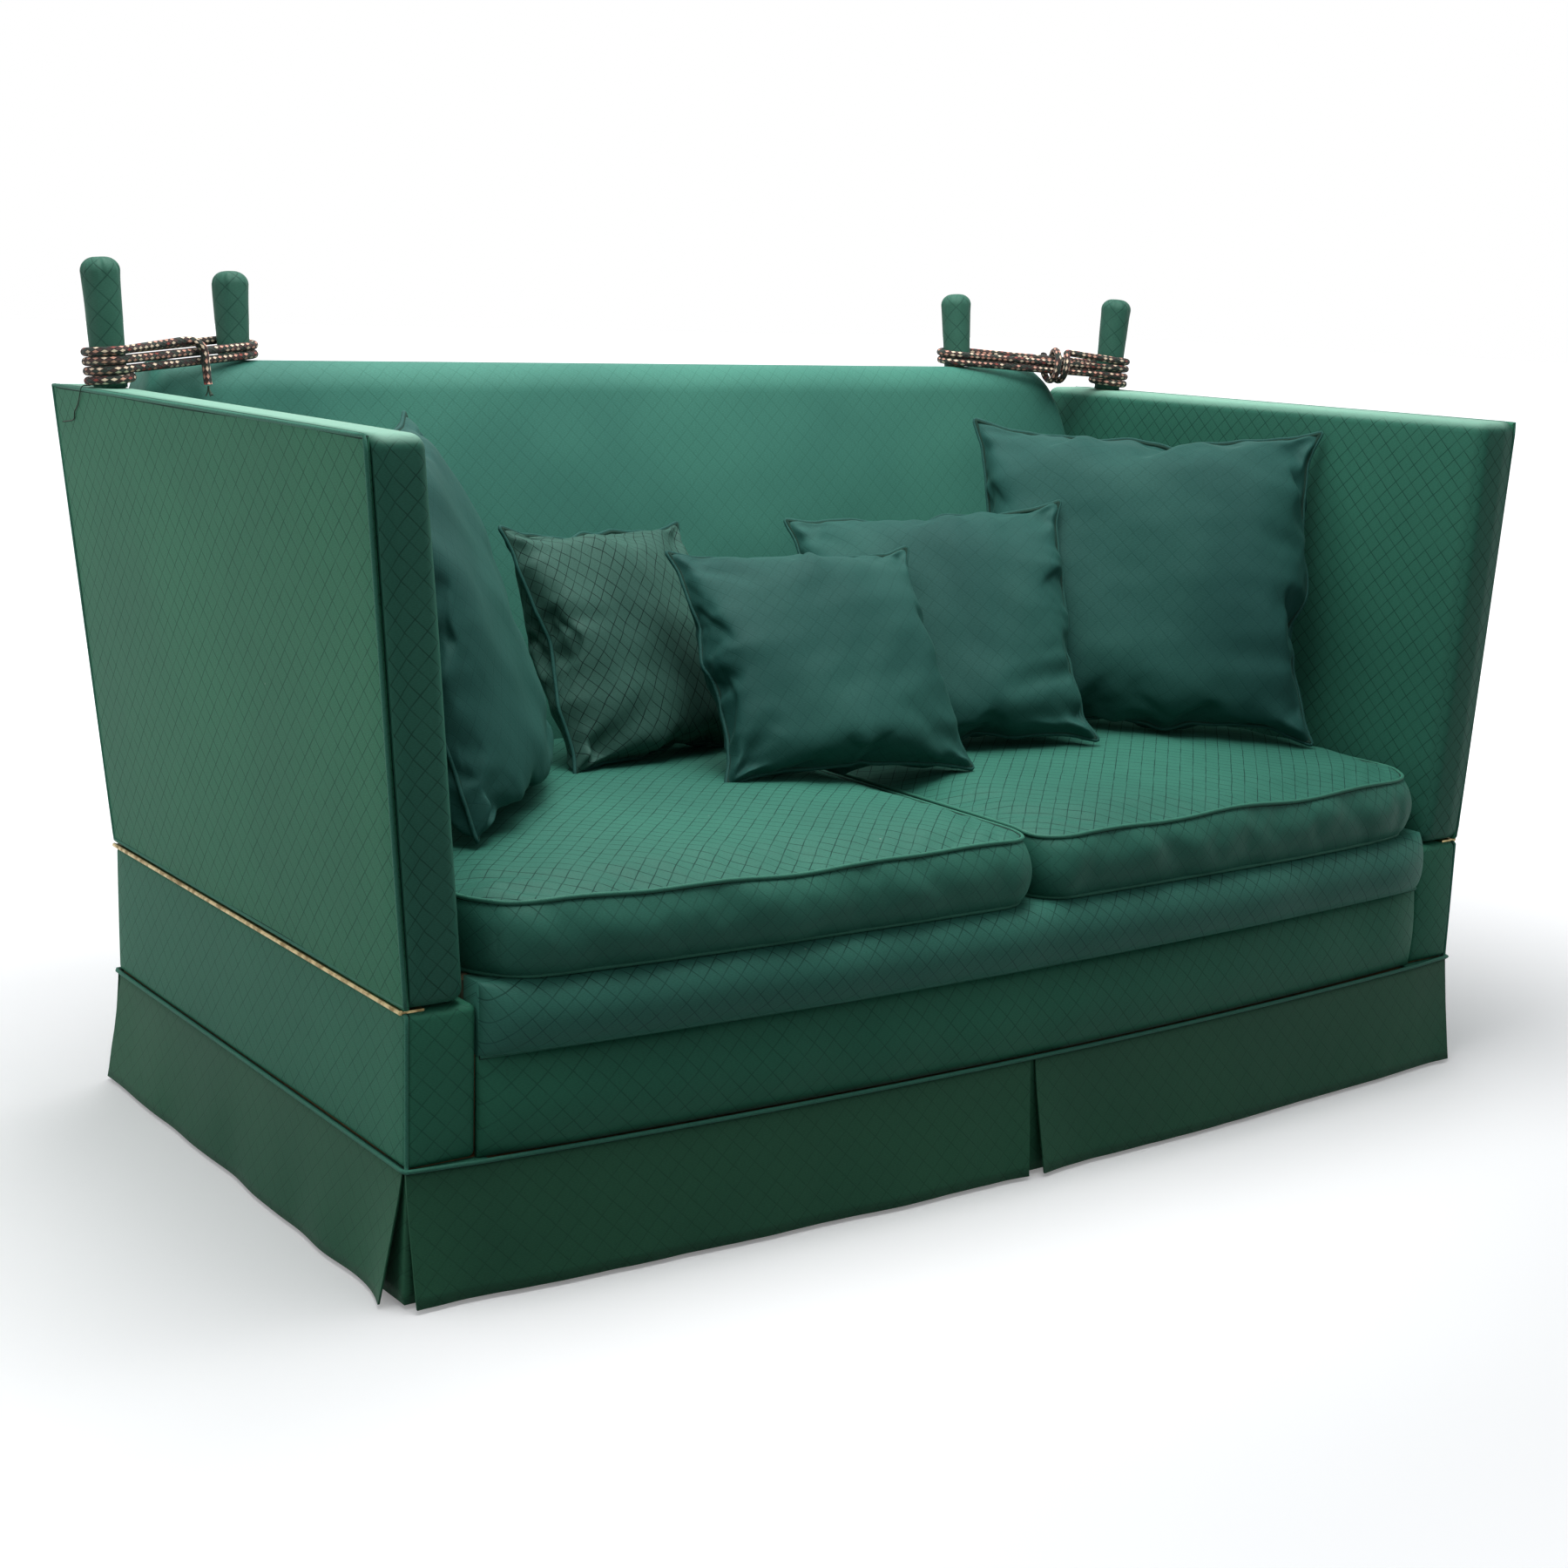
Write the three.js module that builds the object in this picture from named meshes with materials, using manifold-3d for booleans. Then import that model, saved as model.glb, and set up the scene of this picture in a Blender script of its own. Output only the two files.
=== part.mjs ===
// A knole sofa: a deep two-seat sofa with a fixed back, and two tall side arms that stand on the base
// and let down on piano hinges. Rope lashed between an upholstered post on each arm and one on the back
// holds the arm at its angle. Millimetres, +X to the right seen from the front, +Y to the back, +Z up,
// origin on the floor under the middle of the sofa.
import * as THREE from "three";
import { mergeVertices } from "three/addons/utils/BufferGeometryUtils.js";
import Module from "manifold-3d";

const wasm = await Module();
wasm.setup();

// Driving sizes of the whole sofa
const baseWidth = 1800;
const baseDepth = 912;
const skirtTop = 166;
const baseTop = 351;
const armTop = 995;
const backRise = 35;
const postRise = 158;
const armThickness = 77;
const armFlare = 47.5;
const rearRake = 67;
const columnWidth = 90;

// Clearances between pieces that touch
const touch = 0.3;
const softTouch = 0.5;
const overrun = 5;

// Sizes of the timber frame
const boardThickness = 28;
const footHeight = 99.7;
const footTopWidth = 62;
const footBottomWidth = 46;
const footInset = 14;
const frontRailTop = 288;
const backRailTop = 236;
const centreRailTop = 204.7;
const cornerBlockThickness = 30;
const stileWidth = 42;
const dowelRadius = 12;
const webWidth = 60;
const webThickness = 2.5;

// Sizes of the covers and padding
const coverThickness = 6;
const coverCornerRadius = 9;
const panelThickness = 6;
const armPadThickness = 17;
const armTopPad = 20;
const armEdgePad = 10;
const armTopRound = 24;
const armFrontRound = 12;
const backLowThickness = 116;
const backHighThickness = 82;
const backCrown = 12;
const backCornerReach = 74;
const backTopRound = 42;
const backTopPad = 44;
const backFramePad = 14;
const backPanelInset = 2;
const deckTop = 375.8;
const lipTop = 376;

// Sizes of the front roll, the border under it and their outward bow
const frontBow = 36;
const frontStand = 12;
const borderBulge = 11;
const lipBulge = 17;
const softEdge = 20;

// Sizes of the skirt
const skirtHem = 6;
const skirtThickness = 3;
const skirtFlare = 14;
const pleatFlare = 10;
const pleatOpening = 9;
const pleatBackWidth = 118;
const skirtHang = 9;

// Sizes of the piano hinges
const leafThickness = 1.1;
const leafWidth = 26;
const leafGap = 0.5;
const knuckleRadius = 3;
const knuckleBore = 1.75;
const pinRadius = 1.4;
const knuckleLength = 50;
const knuckleClearance = 0.5;
const hingeEndInset = 6;

// Sizes of the posts and the rope
const postFootRadius = 22;
const postHeadRadius = 25.5;
const postDomeRadius = 19;
const postCoverThickness = 4;
const postLetIn = 2;
const armPostSet = 114;
const leftPostRise = 14;
const leftBackPostInset = 116;
const rightBackPostInset = 170;
const backPostSet = 30;
const ropeRadius = 6;
const ropeGap = 0.7;
const ropeTailReach = 46;
const ropeLaps = 2;
const tailShare = 0.56;
const tailBend = 0.09;
const tailLiftShare = 0.9;
const knotShares = [0.34, 0.44];
const knotOut = 20;
const knotHalf = 7;
const knotRadius = 26;
const knotTurns = 1.8;
const knotStart = 1.1;

// Sizes of the seat cushions
const seatCushionSide = 88;
const seatCrown = 26;
const seatFrontStand = 30;
const seatFrontBow = 26;
const seatSideBulge = 5;
const seatDraw = 7;
const seatBackGap = 3;
const seatCentreGap = 2;

// Sizes of the scatter cushions
const pillowDrawShare = 0.06;
const pillowFullShare = 0.42;

// Counts that set how finely the curves are divided
const roundSteps = 4;
const pillowSteps = 9;
const seatSteps = 10;
const turnSteps = 24;
const ropeSides = 6;
const postSides = 12;
const knuckleSides = 8;
const skirtSteps = 12;
const frontSteps = 16;

// Heights and places worked out from the driving sizes
const backTop = armTop + backRise;
const halfWidth = baseWidth / 2;
const hingeHeight = baseTop + touch + leafThickness + leafGap / 2;
const armBottom = hingeHeight + leafGap / 2 + leafThickness + touch;
const armHeight = armTop - armBottom;
const hingeX = halfWidth + knuckleRadius + touch;
const innerHalf = halfWidth - columnWidth;
const leftBackPostX = innerHalf - leftBackPostInset;
const rightBackPostX = innerHalf - rightBackPostInset;

const fabric = new THREE.MeshStandardMaterial({ color: 0x35705a, roughness: 0.62, metalness: 0 });
const cushionFabric = new THREE.MeshStandardMaterial({ color: 0x2c6a5c, roughness: 0.66, metalness: 0 });
const timber = new THREE.MeshStandardMaterial({ color: 0xb08a5a, roughness: 0.7, metalness: 0 });
const jute = new THREE.MeshStandardMaterial({ color: 0x8d7a55, roughness: 0.95, metalness: 0 });
const brass = new THREE.MeshStandardMaterial({ color: 0xb3975a, roughness: 0.4, metalness: 1 });
const braid = new THREE.MeshStandardMaterial({ color: 0x4a3a30, roughness: 0.85, metalness: 0 });

const sofa = new THREE.Group();
const base = new THREE.Group();
const arms = { left: new THREE.Group(), right: new THREE.Group() };
sofa.add(base, arms.left, arms.right);
const sides = [
  { name: "left", sign: -1 },
  { name: "right", sign: 1 },
];

function add(group, name, geometry, material) {
  const mesh = new THREE.Mesh(geometry, material);
  mesh.name = name;
  group.add(mesh);
  return mesh;
}

// Solids: a geometry as a boolean solid, and back again
function solidOf(geometry) {
  const bare = geometry.index ? geometry.toNonIndexed() : geometry.clone();
  bare.deleteAttribute("normal");
  bare.deleteAttribute("uv");
  const merged = mergeVertices(bare, 1e-3);
  return new wasm.Manifold(
    new wasm.Mesh({
      numProp: 3,
      vertProperties: merged.attributes.position.array,
      triVerts: new Uint32Array(merged.index.array),
    }),
  );
}

function geometryOf(solid) {
  const mesh = solid.getMesh();
  const geometry = new THREE.BufferGeometry();
  geometry.setAttribute("position", new THREE.BufferAttribute(mesh.vertProperties, 3));
  geometry.setIndex(new THREE.BufferAttribute(mesh.triVerts, 1));
  const flat = geometry.toNonIndexed();
  flat.computeVertexNormals();
  return flat;
}

function cut(geometry, ...tools) {
  return geometryOf(tools.reduce((left, tool) => left.subtract(solidOf(tool)), solidOf(geometry)));
}

function join(geometry, ...others) {
  return geometryOf(others.reduce((sum, other) => sum.add(solidOf(other)), solidOf(geometry)));
}

// A closed surface from its corners and triangles, turned to face out
function closedSurface(points, triangles) {
  let volume = 0;
  const cross = new THREE.Vector3();
  for (const [a, b, c] of triangles) {
    volume += cross.crossVectors(points[a], points[b]).dot(points[c]);
  }
  const order = volume < 0 ? triangles.map(([a, b, c]) => [a, c, b]) : triangles;
  const geometry = new THREE.BufferGeometry().setFromPoints(points);
  geometry.setIndex(order.flat());
  const flat = geometry.toNonIndexed();
  flat.computeVertexNormals();
  return flat;
}

// The triangles that close a ring, which may be hollow on one side
function capTriangles(ring) {
  const normal = new THREE.Vector3();
  ring.forEach((point, i) => {
    const next = ring[(i + 1) % ring.length];
    normal.x += (point.y - next.y) * (point.z + next.z);
    normal.y += (point.z - next.z) * (point.x + next.x);
    normal.z += (point.x - next.x) * (point.y + next.y);
  });
  normal.normalize();
  const across = new THREE.Vector3(normal.y, normal.z, normal.x).cross(normal).normalize();
  const along = new THREE.Vector3().crossVectors(normal, across);
  const contour = ring.map((point) => new THREE.Vector2(point.dot(across), point.dot(along)));
  return THREE.ShapeUtils.triangulateShape(contour, []);
}

// A solid through rings of corners that match one to one
function loft(rings) {
  const count = rings[0].length;
  const triangles = [];
  for (let r = 0; r + 1 < rings.length; r++) {
    for (let i = 0; i < count; i++) {
      const a = r * count + i;
      const b = r * count + ((i + 1) % count);
      triangles.push([a, b, b + count], [a, b + count, a + count]);
    }
  }
  const last = (rings.length - 1) * count;
  for (const [a, b, c] of capTriangles(rings[0])) triangles.push([a, c, b]);
  for (const [a, b, c] of capTriangles(rings[rings.length - 1])) {
    triangles.push([last + a, last + b, last + c]);
  }
  return closedSurface(rings.flat(), triangles);
}

// A board between two heights, with its plan corners given as ranges
function board([left, right], [front, rear], [bottom, top]) {
  const geometry = new THREE.BoxGeometry(right - left, rear - front, top - bottom);
  geometry.translate((left + right) / 2, (front + rear) / 2, (bottom + top) / 2);
  return geometry;
}

function mirrored(sign, [near, far]) {
  return sign < 0 ? [-far, -near] : [near, far];
}

// A rectangle with rounded corners, as a shape in plan
function roundedPlan([left, right], [front, rear], radius) {
  const shape = new THREE.Shape();
  const quarter = Math.PI / 2;
  shape.absarc(right - radius, rear - radius, radius, 0, quarter);
  shape.absarc(left + radius, rear - radius, radius, quarter, 2 * quarter);
  shape.absarc(left + radius, front + radius, radius, 2 * quarter, 3 * quarter);
  shape.absarc(right - radius, front + radius, radius, 3 * quarter, 4 * quarter);
  return shape;
}

function standing(shape, bottom, top) {
  const geometry = new THREE.ExtrudeGeometry(shape, {
    depth: top - bottom,
    bevelEnabled: false,
    curveSegments: roundSteps,
  });
  geometry.translate(0, 0, bottom);
  return geometry;
}

// How far the arm's faces lean out and the rear edge rakes back at a height
const leanAt = (height) => (armFlare * (height - armBottom)) / armHeight;
const rakeAt = (height) => (rearRake * Math.max(0, height - baseTop)) / (armTop - baseTop);
const armInnerAt = (height) => halfWidth - armThickness + leanAt(height);
const rearAt = (height) => baseDepth + rakeAt(height);
const rakeAngle = Math.atan(rearRake / (armTop - baseTop));
const leanAngle = Math.atan(armFlare / armHeight);

// How far the front of the seat bows out from the columns
const bowAt = (x) => frontBow * (1 - (x / innerHalf) ** 2);

// A point of an arm: inset from its outer face, along its length from the front, and height
function armPoint(sign, inset, along, height) {
  const stretch = 1 + rakeAt(height) / baseDepth;
  return new THREE.Vector3(sign * (halfWidth + leanAt(height) - inset), along * stretch, height);
}

// A straight piece of an arm with its faces parallel to the arm's own faces
function armBlock(sign, [outer, inner], [front, rear], [bottom, top]) {
  const ring = (height) => [
    armPoint(sign, outer, front, height),
    armPoint(sign, inner, front, height),
    armPoint(sign, inner, rear, height),
    armPoint(sign, outer, rear, height),
  ];
  return loft([ring(bottom), ring(top)]);
}

// The arm's padded body, a slab with soft inner edges and a soft top
function armBody(sign, outer) {
  const ring = (height, drop) => {
    const points = [armPoint(sign, outer, drop / 2, height)];
    for (let i = 0; i <= roundSteps; i++) {
      const turn = (Math.PI / 2) * (i / roundSteps);
      const inset = armThickness - drop - armFrontRound * (1 - Math.sin(turn));
      points.push(armPoint(sign, inset, drop / 2 + armFrontRound * (1 - Math.cos(turn)), height));
    }
    for (let i = 0; i <= roundSteps; i++) {
      const turn = (Math.PI / 2) * (i / roundSteps);
      const inset = armThickness - drop - armFrontRound * (1 - Math.cos(turn));
      const along = baseDepth - drop / 2 - armFrontRound * (1 - Math.sin(turn));
      points.push(armPoint(sign, inset, along, height));
    }
    points.push(armPoint(sign, outer, baseDepth - drop / 2, height));
    return points;
  };
  const rings = [ring(armBottom, 0), ring(armTop - armTopRound, 0)];
  for (let i = 1; i <= roundSteps; i++) {
    const turn = (Math.PI / 2) * (i / roundSteps);
    rings.push(ring(armTop - armTopRound * (1 - Math.sin(turn)), armTopRound * (1 - Math.cos(turn))));
  }
  return loft(rings);
}

// A post: a turned core, and the padded cover that is drawn over it
function postProfile(footRadius, headRadius, domeRadius, height) {
  const points = [new THREE.Vector2(0, 0), new THREE.Vector2(footRadius, 0)];
  for (let i = 0; i <= roundSteps; i++) {
    const turn = (Math.PI / 2) * (i / roundSteps);
    points.push(
      new THREE.Vector2(
        headRadius - domeRadius * (1 - Math.cos(turn)),
        height - domeRadius * (1 - Math.sin(turn)),
      ),
    );
  }
  points.push(new THREE.Vector2(0, height));
  return points;
}

function turned(points, segments) {
  const geometry = new THREE.LatheGeometry(points, segments);
  geometry.rotateX(Math.PI / 2);
  return geometry;
}

function postCore(height) {
  const wall = postCoverThickness + touch;
  const head = height - wall;
  return turned(
    postProfile(postFootRadius - wall, postHeadRadius - wall, postDomeRadius - wall, head),
    postSides,
  );
}

function postCover(height) {
  const wall = postCoverThickness;
  const outer = turned(postProfile(postFootRadius, postHeadRadius, postDomeRadius, height), postSides);
  const inner = turned(
    postProfile(postFootRadius - wall, postHeadRadius - wall, postDomeRadius - wall, height - wall),
    postSides,
  );
  const mouth = turned(
    [
      new THREE.Vector2(0, -overrun),
      new THREE.Vector2(postFootRadius - wall, -overrun),
      new THREE.Vector2(postFootRadius - wall, overrun),
      new THREE.Vector2(0, overrun),
    ],
    postSides,
  );
  return cut(outer, inner, mouth);
}

function dowel(length) {
  const geometry = new THREE.CylinderGeometry(dowelRadius, dowelRadius, length, postSides);
  geometry.rotateX(Math.PI / 2);
  geometry.translate(0, 0, -length / 2 + touch);
  return geometry;
}

function placed(geometry, lean, rake, place) {
  const turn = new THREE.Matrix4().makeRotationFromEuler(new THREE.Euler(-rake, lean, 0));
  return geometry.clone().applyMatrix4(turn).translate(place.x, place.y, place.z);
}

// Where each post stands, and how it leans
const armPostHeight = (sign) => postRise + (sign < 0 ? leftPostRise : 0);
const backPostHeight = postRise - backRise;
function armPostPlace(sign) {
  return armPoint(sign, armThickness / 2, baseDepth - armPostSet, armTop);
}
function backPostPlace(sign) {
  const x = sign < 0 ? -leftBackPostX : rightBackPostX;
  return new THREE.Vector3(x, rearAt(backTop) - backPostSet, backTop);
}

// Timber frame of the base
const railFront = touch * 2 + frontStand / 2;
const frontRailRear = railFront + boardThickness;
const backRailRear = baseDepth - panelThickness - touch;
const backRailFront = backRailRear - boardThickness;
const railBottom = footHeight + touch;
const sideOuter = halfWidth - coverThickness - touch;
const sideInner = innerHalf + coverThickness + touch;
const sideRailTop = baseTop - coverThickness - touch;
const railEnd = innerHalf - touch;

// The end rails are longer under the side covers, where they meet the side rails' blocks
function endRail(depthRange, top) {
  const shoulder = skirtTop - touch;
  const tenonEnd = sideInner - touch;
  return join(
    board([-railEnd, railEnd], depthRange, [railBottom, top]),
    board([-tenonEnd, tenonEnd], depthRange, [railBottom, shoulder]),
  );
}
const frontRailRange = [railFront, frontRailRear];
const backRailRange = [backRailFront, backRailRear];
add(base, "front_seat_rail", endRail(frontRailRange, frontRailTop), timber);
add(base, "back_seat_rail", endRail(backRailRange, backRailTop), timber);
const centreRailRange = [frontRailRear + touch, backRailFront - touch];
const centreRailWidth = [-boardThickness / 2, boardThickness / 2];
add(base, "centre_seat_rail", board(centreRailWidth, centreRailRange, [railBottom, centreRailTop]), timber);

// Each side of the base is a deep plank with a block at each end
const sideFront = coverThickness + touch;
const sideRear = baseDepth - coverThickness - touch;
function sidePlan(sign) {
  const outline = [
    [sideOuter, sideFront],
    [sideOuter, sideRear],
    [sideInner, sideRear],
    [sideInner, sideRear - cornerBlockThickness],
    [sideOuter - boardThickness, sideRear - cornerBlockThickness],
    [sideOuter - boardThickness, sideFront + cornerBlockThickness],
    [sideInner, sideFront + cornerBlockThickness],
    [sideInner, sideFront],
  ];
  return new THREE.Shape(outline.map(([x, y]) => new THREE.Vector2(sign * x, y)));
}
for (const { name, sign } of sides) {
  add(base, name + "_side_rail", standing(sidePlan(sign), railBottom, sideRailTop), timber);
}

// Block feet under the four corners, tapered towards the floor
function foot(x, y) {
  const ring = (width, height) =>
    [[-1, -1], [1, -1], [1, 1], [-1, 1]].map(
      ([across, along]) => new THREE.Vector3(x + (across * width) / 2, y + (along * width) / 2, height),
    );
  return loft([ring(footBottomWidth, 0), ring(footTopWidth, footHeight)]);
}
const footCentre = footInset + footTopWidth / 2;
for (const { name, sign } of sides) {
  const x = sign * (sideOuter - footTopWidth / 2);
  add(base, name + "_front_foot", foot(x, footCentre), timber);
  add(base, name + "_rear_foot", foot(x, baseDepth - footCentre), timber);
}

// Jute webbing under the rails, woven long way and cross way, as one net
const webTop = railBottom - touch;
const webRange = [webTop - webThickness, webTop];
const webReach = innerHalf;
function webbing() {
  const longShares = [0.14, 0.38, 0.62, 0.86];
  const crossShares = [0.08, 0.22, 0.36, 0.5, 0.64, 0.78, 0.92];
  const front = railFront;
  const rear = backRailRear;
  const straps = [
    ...longShares.map((share) => {
      const middle = front + (rear - front) * share;
      return board([-webReach, webReach], [middle - webWidth / 2, middle + webWidth / 2], webRange);
    }),
    ...crossShares.map((share) => {
      const middle = webReach * (2 * share - 1);
      const range = webRange.map((z) => z - touch);
      return board([middle - webWidth / 2, middle + webWidth / 2], [front, rear], range);
    }),
  ];
  return join(...straps);
}
add(base, "seat_webbing", webbing(), jute);

// Covers of the base sides, a padded shell over each side rail, open at the bottom
for (const { name, sign } of sides) {
  const across = mirrored(sign, [innerHalf, halfWidth]);
  const hollowAcross = mirrored(sign, [innerHalf + coverThickness, halfWidth - coverThickness]);
  const outside = standing(roundedPlan(across, [0, baseDepth], coverCornerRadius), skirtTop, baseTop);
  const hollow = board(
    hollowAcross,
    [coverThickness, baseDepth - coverThickness],
    [skirtTop - overrun, baseTop - coverThickness],
  );
  add(base, name + "_base_cover", cut(outside, hollow), fabric);
}

// The back leans; a point of it is given by its distance from the rear plane
const uprightThickness = 40;
const uprightFront = panelThickness + touch + uprightThickness;
const uprightWidth = 60;
const backFrameTop = backTop - backTopPad;
const backThicknessAt = (height) =>
  backLowThickness + ((backHighThickness - backLowThickness) * (height - deckTop)) / (backTop - deckTop);
const backHalfAt = (height) => armInnerAt(height) - softTouch;

function backBlock(widthAt, [near, far], heights) {
  return loft(
    heights.map((height) => {
      const [left, right] = widthAt(height);
      const rear = rearAt(height);
      return [
        new THREE.Vector3(left, rear - far, height),
        new THREE.Vector3(right, rear - far, height),
        new THREE.Vector3(right, rear - near, height),
        new THREE.Vector3(left, rear - near, height),
      ];
    }),
  );
}

// Back frame: an upright under each post, which rises through the padding as the post's core, and
// a top rail between them
const uprightFoot = backRailTop + touch;
const frameRange = [panelThickness + touch, uprightFront];
for (const { name, sign } of sides) {
  const place = backPostPlace(sign);
  const width = () => [place.x - uprightWidth / 2, place.x + uprightWidth / 2];
  const upright = backBlock(width, frameRange, [uprightFoot, baseTop, backFrameTop]);
  const core = placed(postCore(backPostHeight), 0, rakeAngle, place);
  const neck = placed(dowel(backTopPad + uprightThickness), 0, rakeAngle, place);
  add(base, name + "_back_upright", join(upright, core, neck), timber);
  add(base, name + "_back_post_cover", placed(postCover(backPostHeight), 0, rakeAngle, {
    x: place.x, y: place.y, z: place.z + softTouch,
  }), fabric);
}
const topRailWidth = () => [
  -leftBackPostX + uprightWidth / 2 + touch,
  rightBackPostX - uprightWidth / 2 - touch,
];
add(base, "back_top_rail", backBlock(topRailWidth, frameRange, [backFrameTop - stileWidth, backFrameTop]),
  timber);

// Outside back: a flat covered panel from the skirt to under the top roll
const outsideBackWidth = (height) => {
  const half = Math.min(
    innerHalf - touch + Math.max(0, height - baseTop),
    backHalfAt(height) - backPanelInset,
  );
  return [-half, half];
};
add(base, "outside_back_panel", backBlock(outsideBackWidth, [0, panelThickness],
  [skirtTop + touch, baseTop, armBottom + columnWidth / 2, backFrameTop]), fabric);

// Inside back: a crowned pad with rounded top corners that wraps over the top of the frame
function backPad() {
  const shapeShares = [-0.92, -0.62, -0.3, 0, 0.3, 0.62, 0.92];
  const ring = (height, acrossDrop, depthDrop) => {
    const half = backHalfAt(height) - acrossDrop;
    const rear = rearAt(height) - depthDrop;
    const front = rearAt(height) - backThicknessAt(height) + depthDrop;
    const rise = Math.sin((Math.PI * (height - deckTop)) / (backTop - deckTop));
    const points = [-half, 0, half].map((x) => new THREE.Vector3(x, rear, height));
    const soft = Math.min(softEdge, (rear - front) / 3);
    for (const side of [1, -1]) {
      for (let i = 0; i <= 2; i++) {
        const turn = (Math.PI / 2) * (side > 0 ? i / 2 : 1 - i / 2);
        const x = side * (half - soft * (1 - Math.cos(turn)));
        points.push(new THREE.Vector3(x, front + soft * (1 - Math.sin(turn)), height));
      }
      if (side > 0) {
        for (const share of [...shapeShares].reverse()) {
          const swell = backCrown * rise * (1 - share ** 2);
          points.push(new THREE.Vector3(share * (half - soft), front - swell, height));
        }
      }
    }
    return points;
  };
  const padSteps = 5;
  const shoulder = backTop - backTopRound;
  const start = deckTop + touch;
  const rings = [];
  for (let i = 0; i <= padSteps; i++) rings.push(ring(start + ((shoulder - start) * i) / padSteps, 0, 0));
  for (let i = 1; i <= roundSteps + 1; i++) {
    const turn = (Math.PI / 2) * (i / (roundSteps + 1));
    const height = shoulder + backTopRound * Math.sin(turn);
    const fall = 1 - Math.cos(turn);
    rings.push(ring(height, backCornerReach * fall, (backHighThickness / 2 - overrun) * fall));
  }
  return loft(rings);
}
const pocketTop = backFrameTop + touch;
const pocketHeights = [uprightFoot, baseTop, pocketTop];
const pocketWidth = (height) => {
  const half = backHalfAt(height) - backFramePad;
  return [-half, half];
};
const rebateWidth = (height) => [-backHalfAt(height) - overrun, backHalfAt(height) + overrun];
const postHoles = sides.map(({ sign }) => {
  const hole = new THREE.CylinderGeometry(dowelRadius + touch, dowelRadius + touch,
    backTopPad * 3, postSides);
  hole.rotateX(Math.PI / 2);
  return placed(hole, 0, rakeAngle, backPostPlace(sign));
});
add(base, "inside_back_pad", cut(
  backPad(),
  backBlock(pocketWidth, [-overrun, uprightFront + softTouch], pocketHeights),
  backBlock(rebateWidth, [-overrun, panelThickness + touch], pocketHeights),
  ...postHoles,
), fabric);

// Sprung seat unit behind the front rail, which carries the cushions
const deckRear = (height) => rearAt(height) - uprightFront - softTouch;
function sprungDeck() {
  const half = innerHalf - softTouch;
  const ring = (height, drop) => [
    new THREE.Vector3(-half + drop, frontRailRear + touch + drop, height),
    new THREE.Vector3(half - drop, frontRailRear + touch + drop, height),
    new THREE.Vector3(half - drop, deckRear(height) - drop, height),
    new THREE.Vector3(-half + drop, deckRear(height) - drop, height),
  ];
  const shoulder = deckTop - coverThickness;
  return loft([
    ring(centreRailTop + touch, 0),
    ring(baseTop, 0),
    ring(shoulder, 0),
    ring(deckTop, coverThickness),
  ]);
}
add(base, "sprung_seat_unit", sprungDeck(), jute);

// The front edge: a full border under a sprung roll, both bowed out between the columns
function frontPad(low, high, rearFace, profile) {
  const half = innerHalf - softTouch;
  const rings = [];
  for (let i = 0; i <= frontSteps; i++) {
    const x = half * Math.sin(((Math.PI / 2) * (2 * i - frontSteps)) / frontSteps);
    const full = Math.sqrt(1 - Math.min(1, Math.abs(x) / innerHalf) ** (frontSteps * 2));
    const stand = -(frontStand + bowAt(x)) * full;
    const points = [new THREE.Vector3(x, rearFace, low)];
    for (const [out, up] of profile(full)) {
      points.push(new THREE.Vector3(x, stand - out, low + (high - low) * up));
    }
    points.push(new THREE.Vector3(x, rearFace, high));
    rings.push(points);
  }
  return loft(rings);
}
const borderShares = [0, 0.06, 0.2, 0.5, 0.8, 0.94, 1];
const borderProfile = (full) =>
  borderShares.map((share) => [borderBulge * full * (Math.sin(Math.PI * share) ** 0.5 - 1 / 2), share]);
add(base, "front_border", frontPad(skirtTop + touch, frontRailTop - touch, railFront - touch,
  borderProfile), fabric);
const lipSteps = 8;
function lipProfile(full) {
  const points = [];
  for (let i = 0; i <= lipSteps; i++) {
    const turn = Math.PI * (i / lipSteps - 1 / 2);
    points.push([lipBulge * full * Math.cos(turn), (1 + Math.sin(turn)) / 2]);
  }
  return points;
}
add(base, "front_edge_roll", frontPad(frontRailTop + touch, lipTop, frontRailRear, lipProfile), fabric);

// Skirt panels hang from the bottom edge of the covers and flare out at the pleats
const skirtLevels = 4;
function skirtRing(top, outward, flare) {
  const ring = [];
  const point = (level, depth) => {
    const share = level / (skirtLevels - 1);
    const height = skirtTop - touch - (skirtTop - touch - skirtHem) * share;
    const out = flare * share - depth;
    return new THREE.Vector3(top.x + outward.x * out, top.y + outward.y * out, height);
  };
  for (let level = 0; level < skirtLevels; level++) ring.push(point(level, 0));
  for (let level = skirtLevels - 1; level >= 0; level--) ring.push(point(level, skirtThickness));
  return ring;
}
function endLift(distance) {
  const reach = pleatBackWidth;
  return distance > reach ? 0 : (1 - distance / reach) ** 2;
}
function skirtPanel(line, length) {
  const rings = [];
  for (let i = 0; i <= skirtSteps; i++) {
    const along = (length * (1 - Math.cos((Math.PI * i) / skirtSteps))) / 2;
    const { top, outward } = line(along);
    const lift = endLift(along) + endLift(length - along);
    const wave = skirtHang * Math.sin((2 * Math.PI * along) / length) ** 2;
    rings.push(skirtRing(top, outward, skirtFlare + pleatFlare * lift + wave / 3));
  }
  return loft(rings);
}
function frontLine(x) {
  const beyond = Math.max(0, Math.abs(x) - innerHalf);
  const stand = beyond > 0 ? frontStand * (1 - beyond / columnWidth) : frontStand + bowAt(x);
  return { top: new THREE.Vector3(x, -stand, 0), outward: new THREE.Vector3(0, -1, 0) };
}
const frontPanelLength = halfWidth - pleatOpening / 2;
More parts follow.
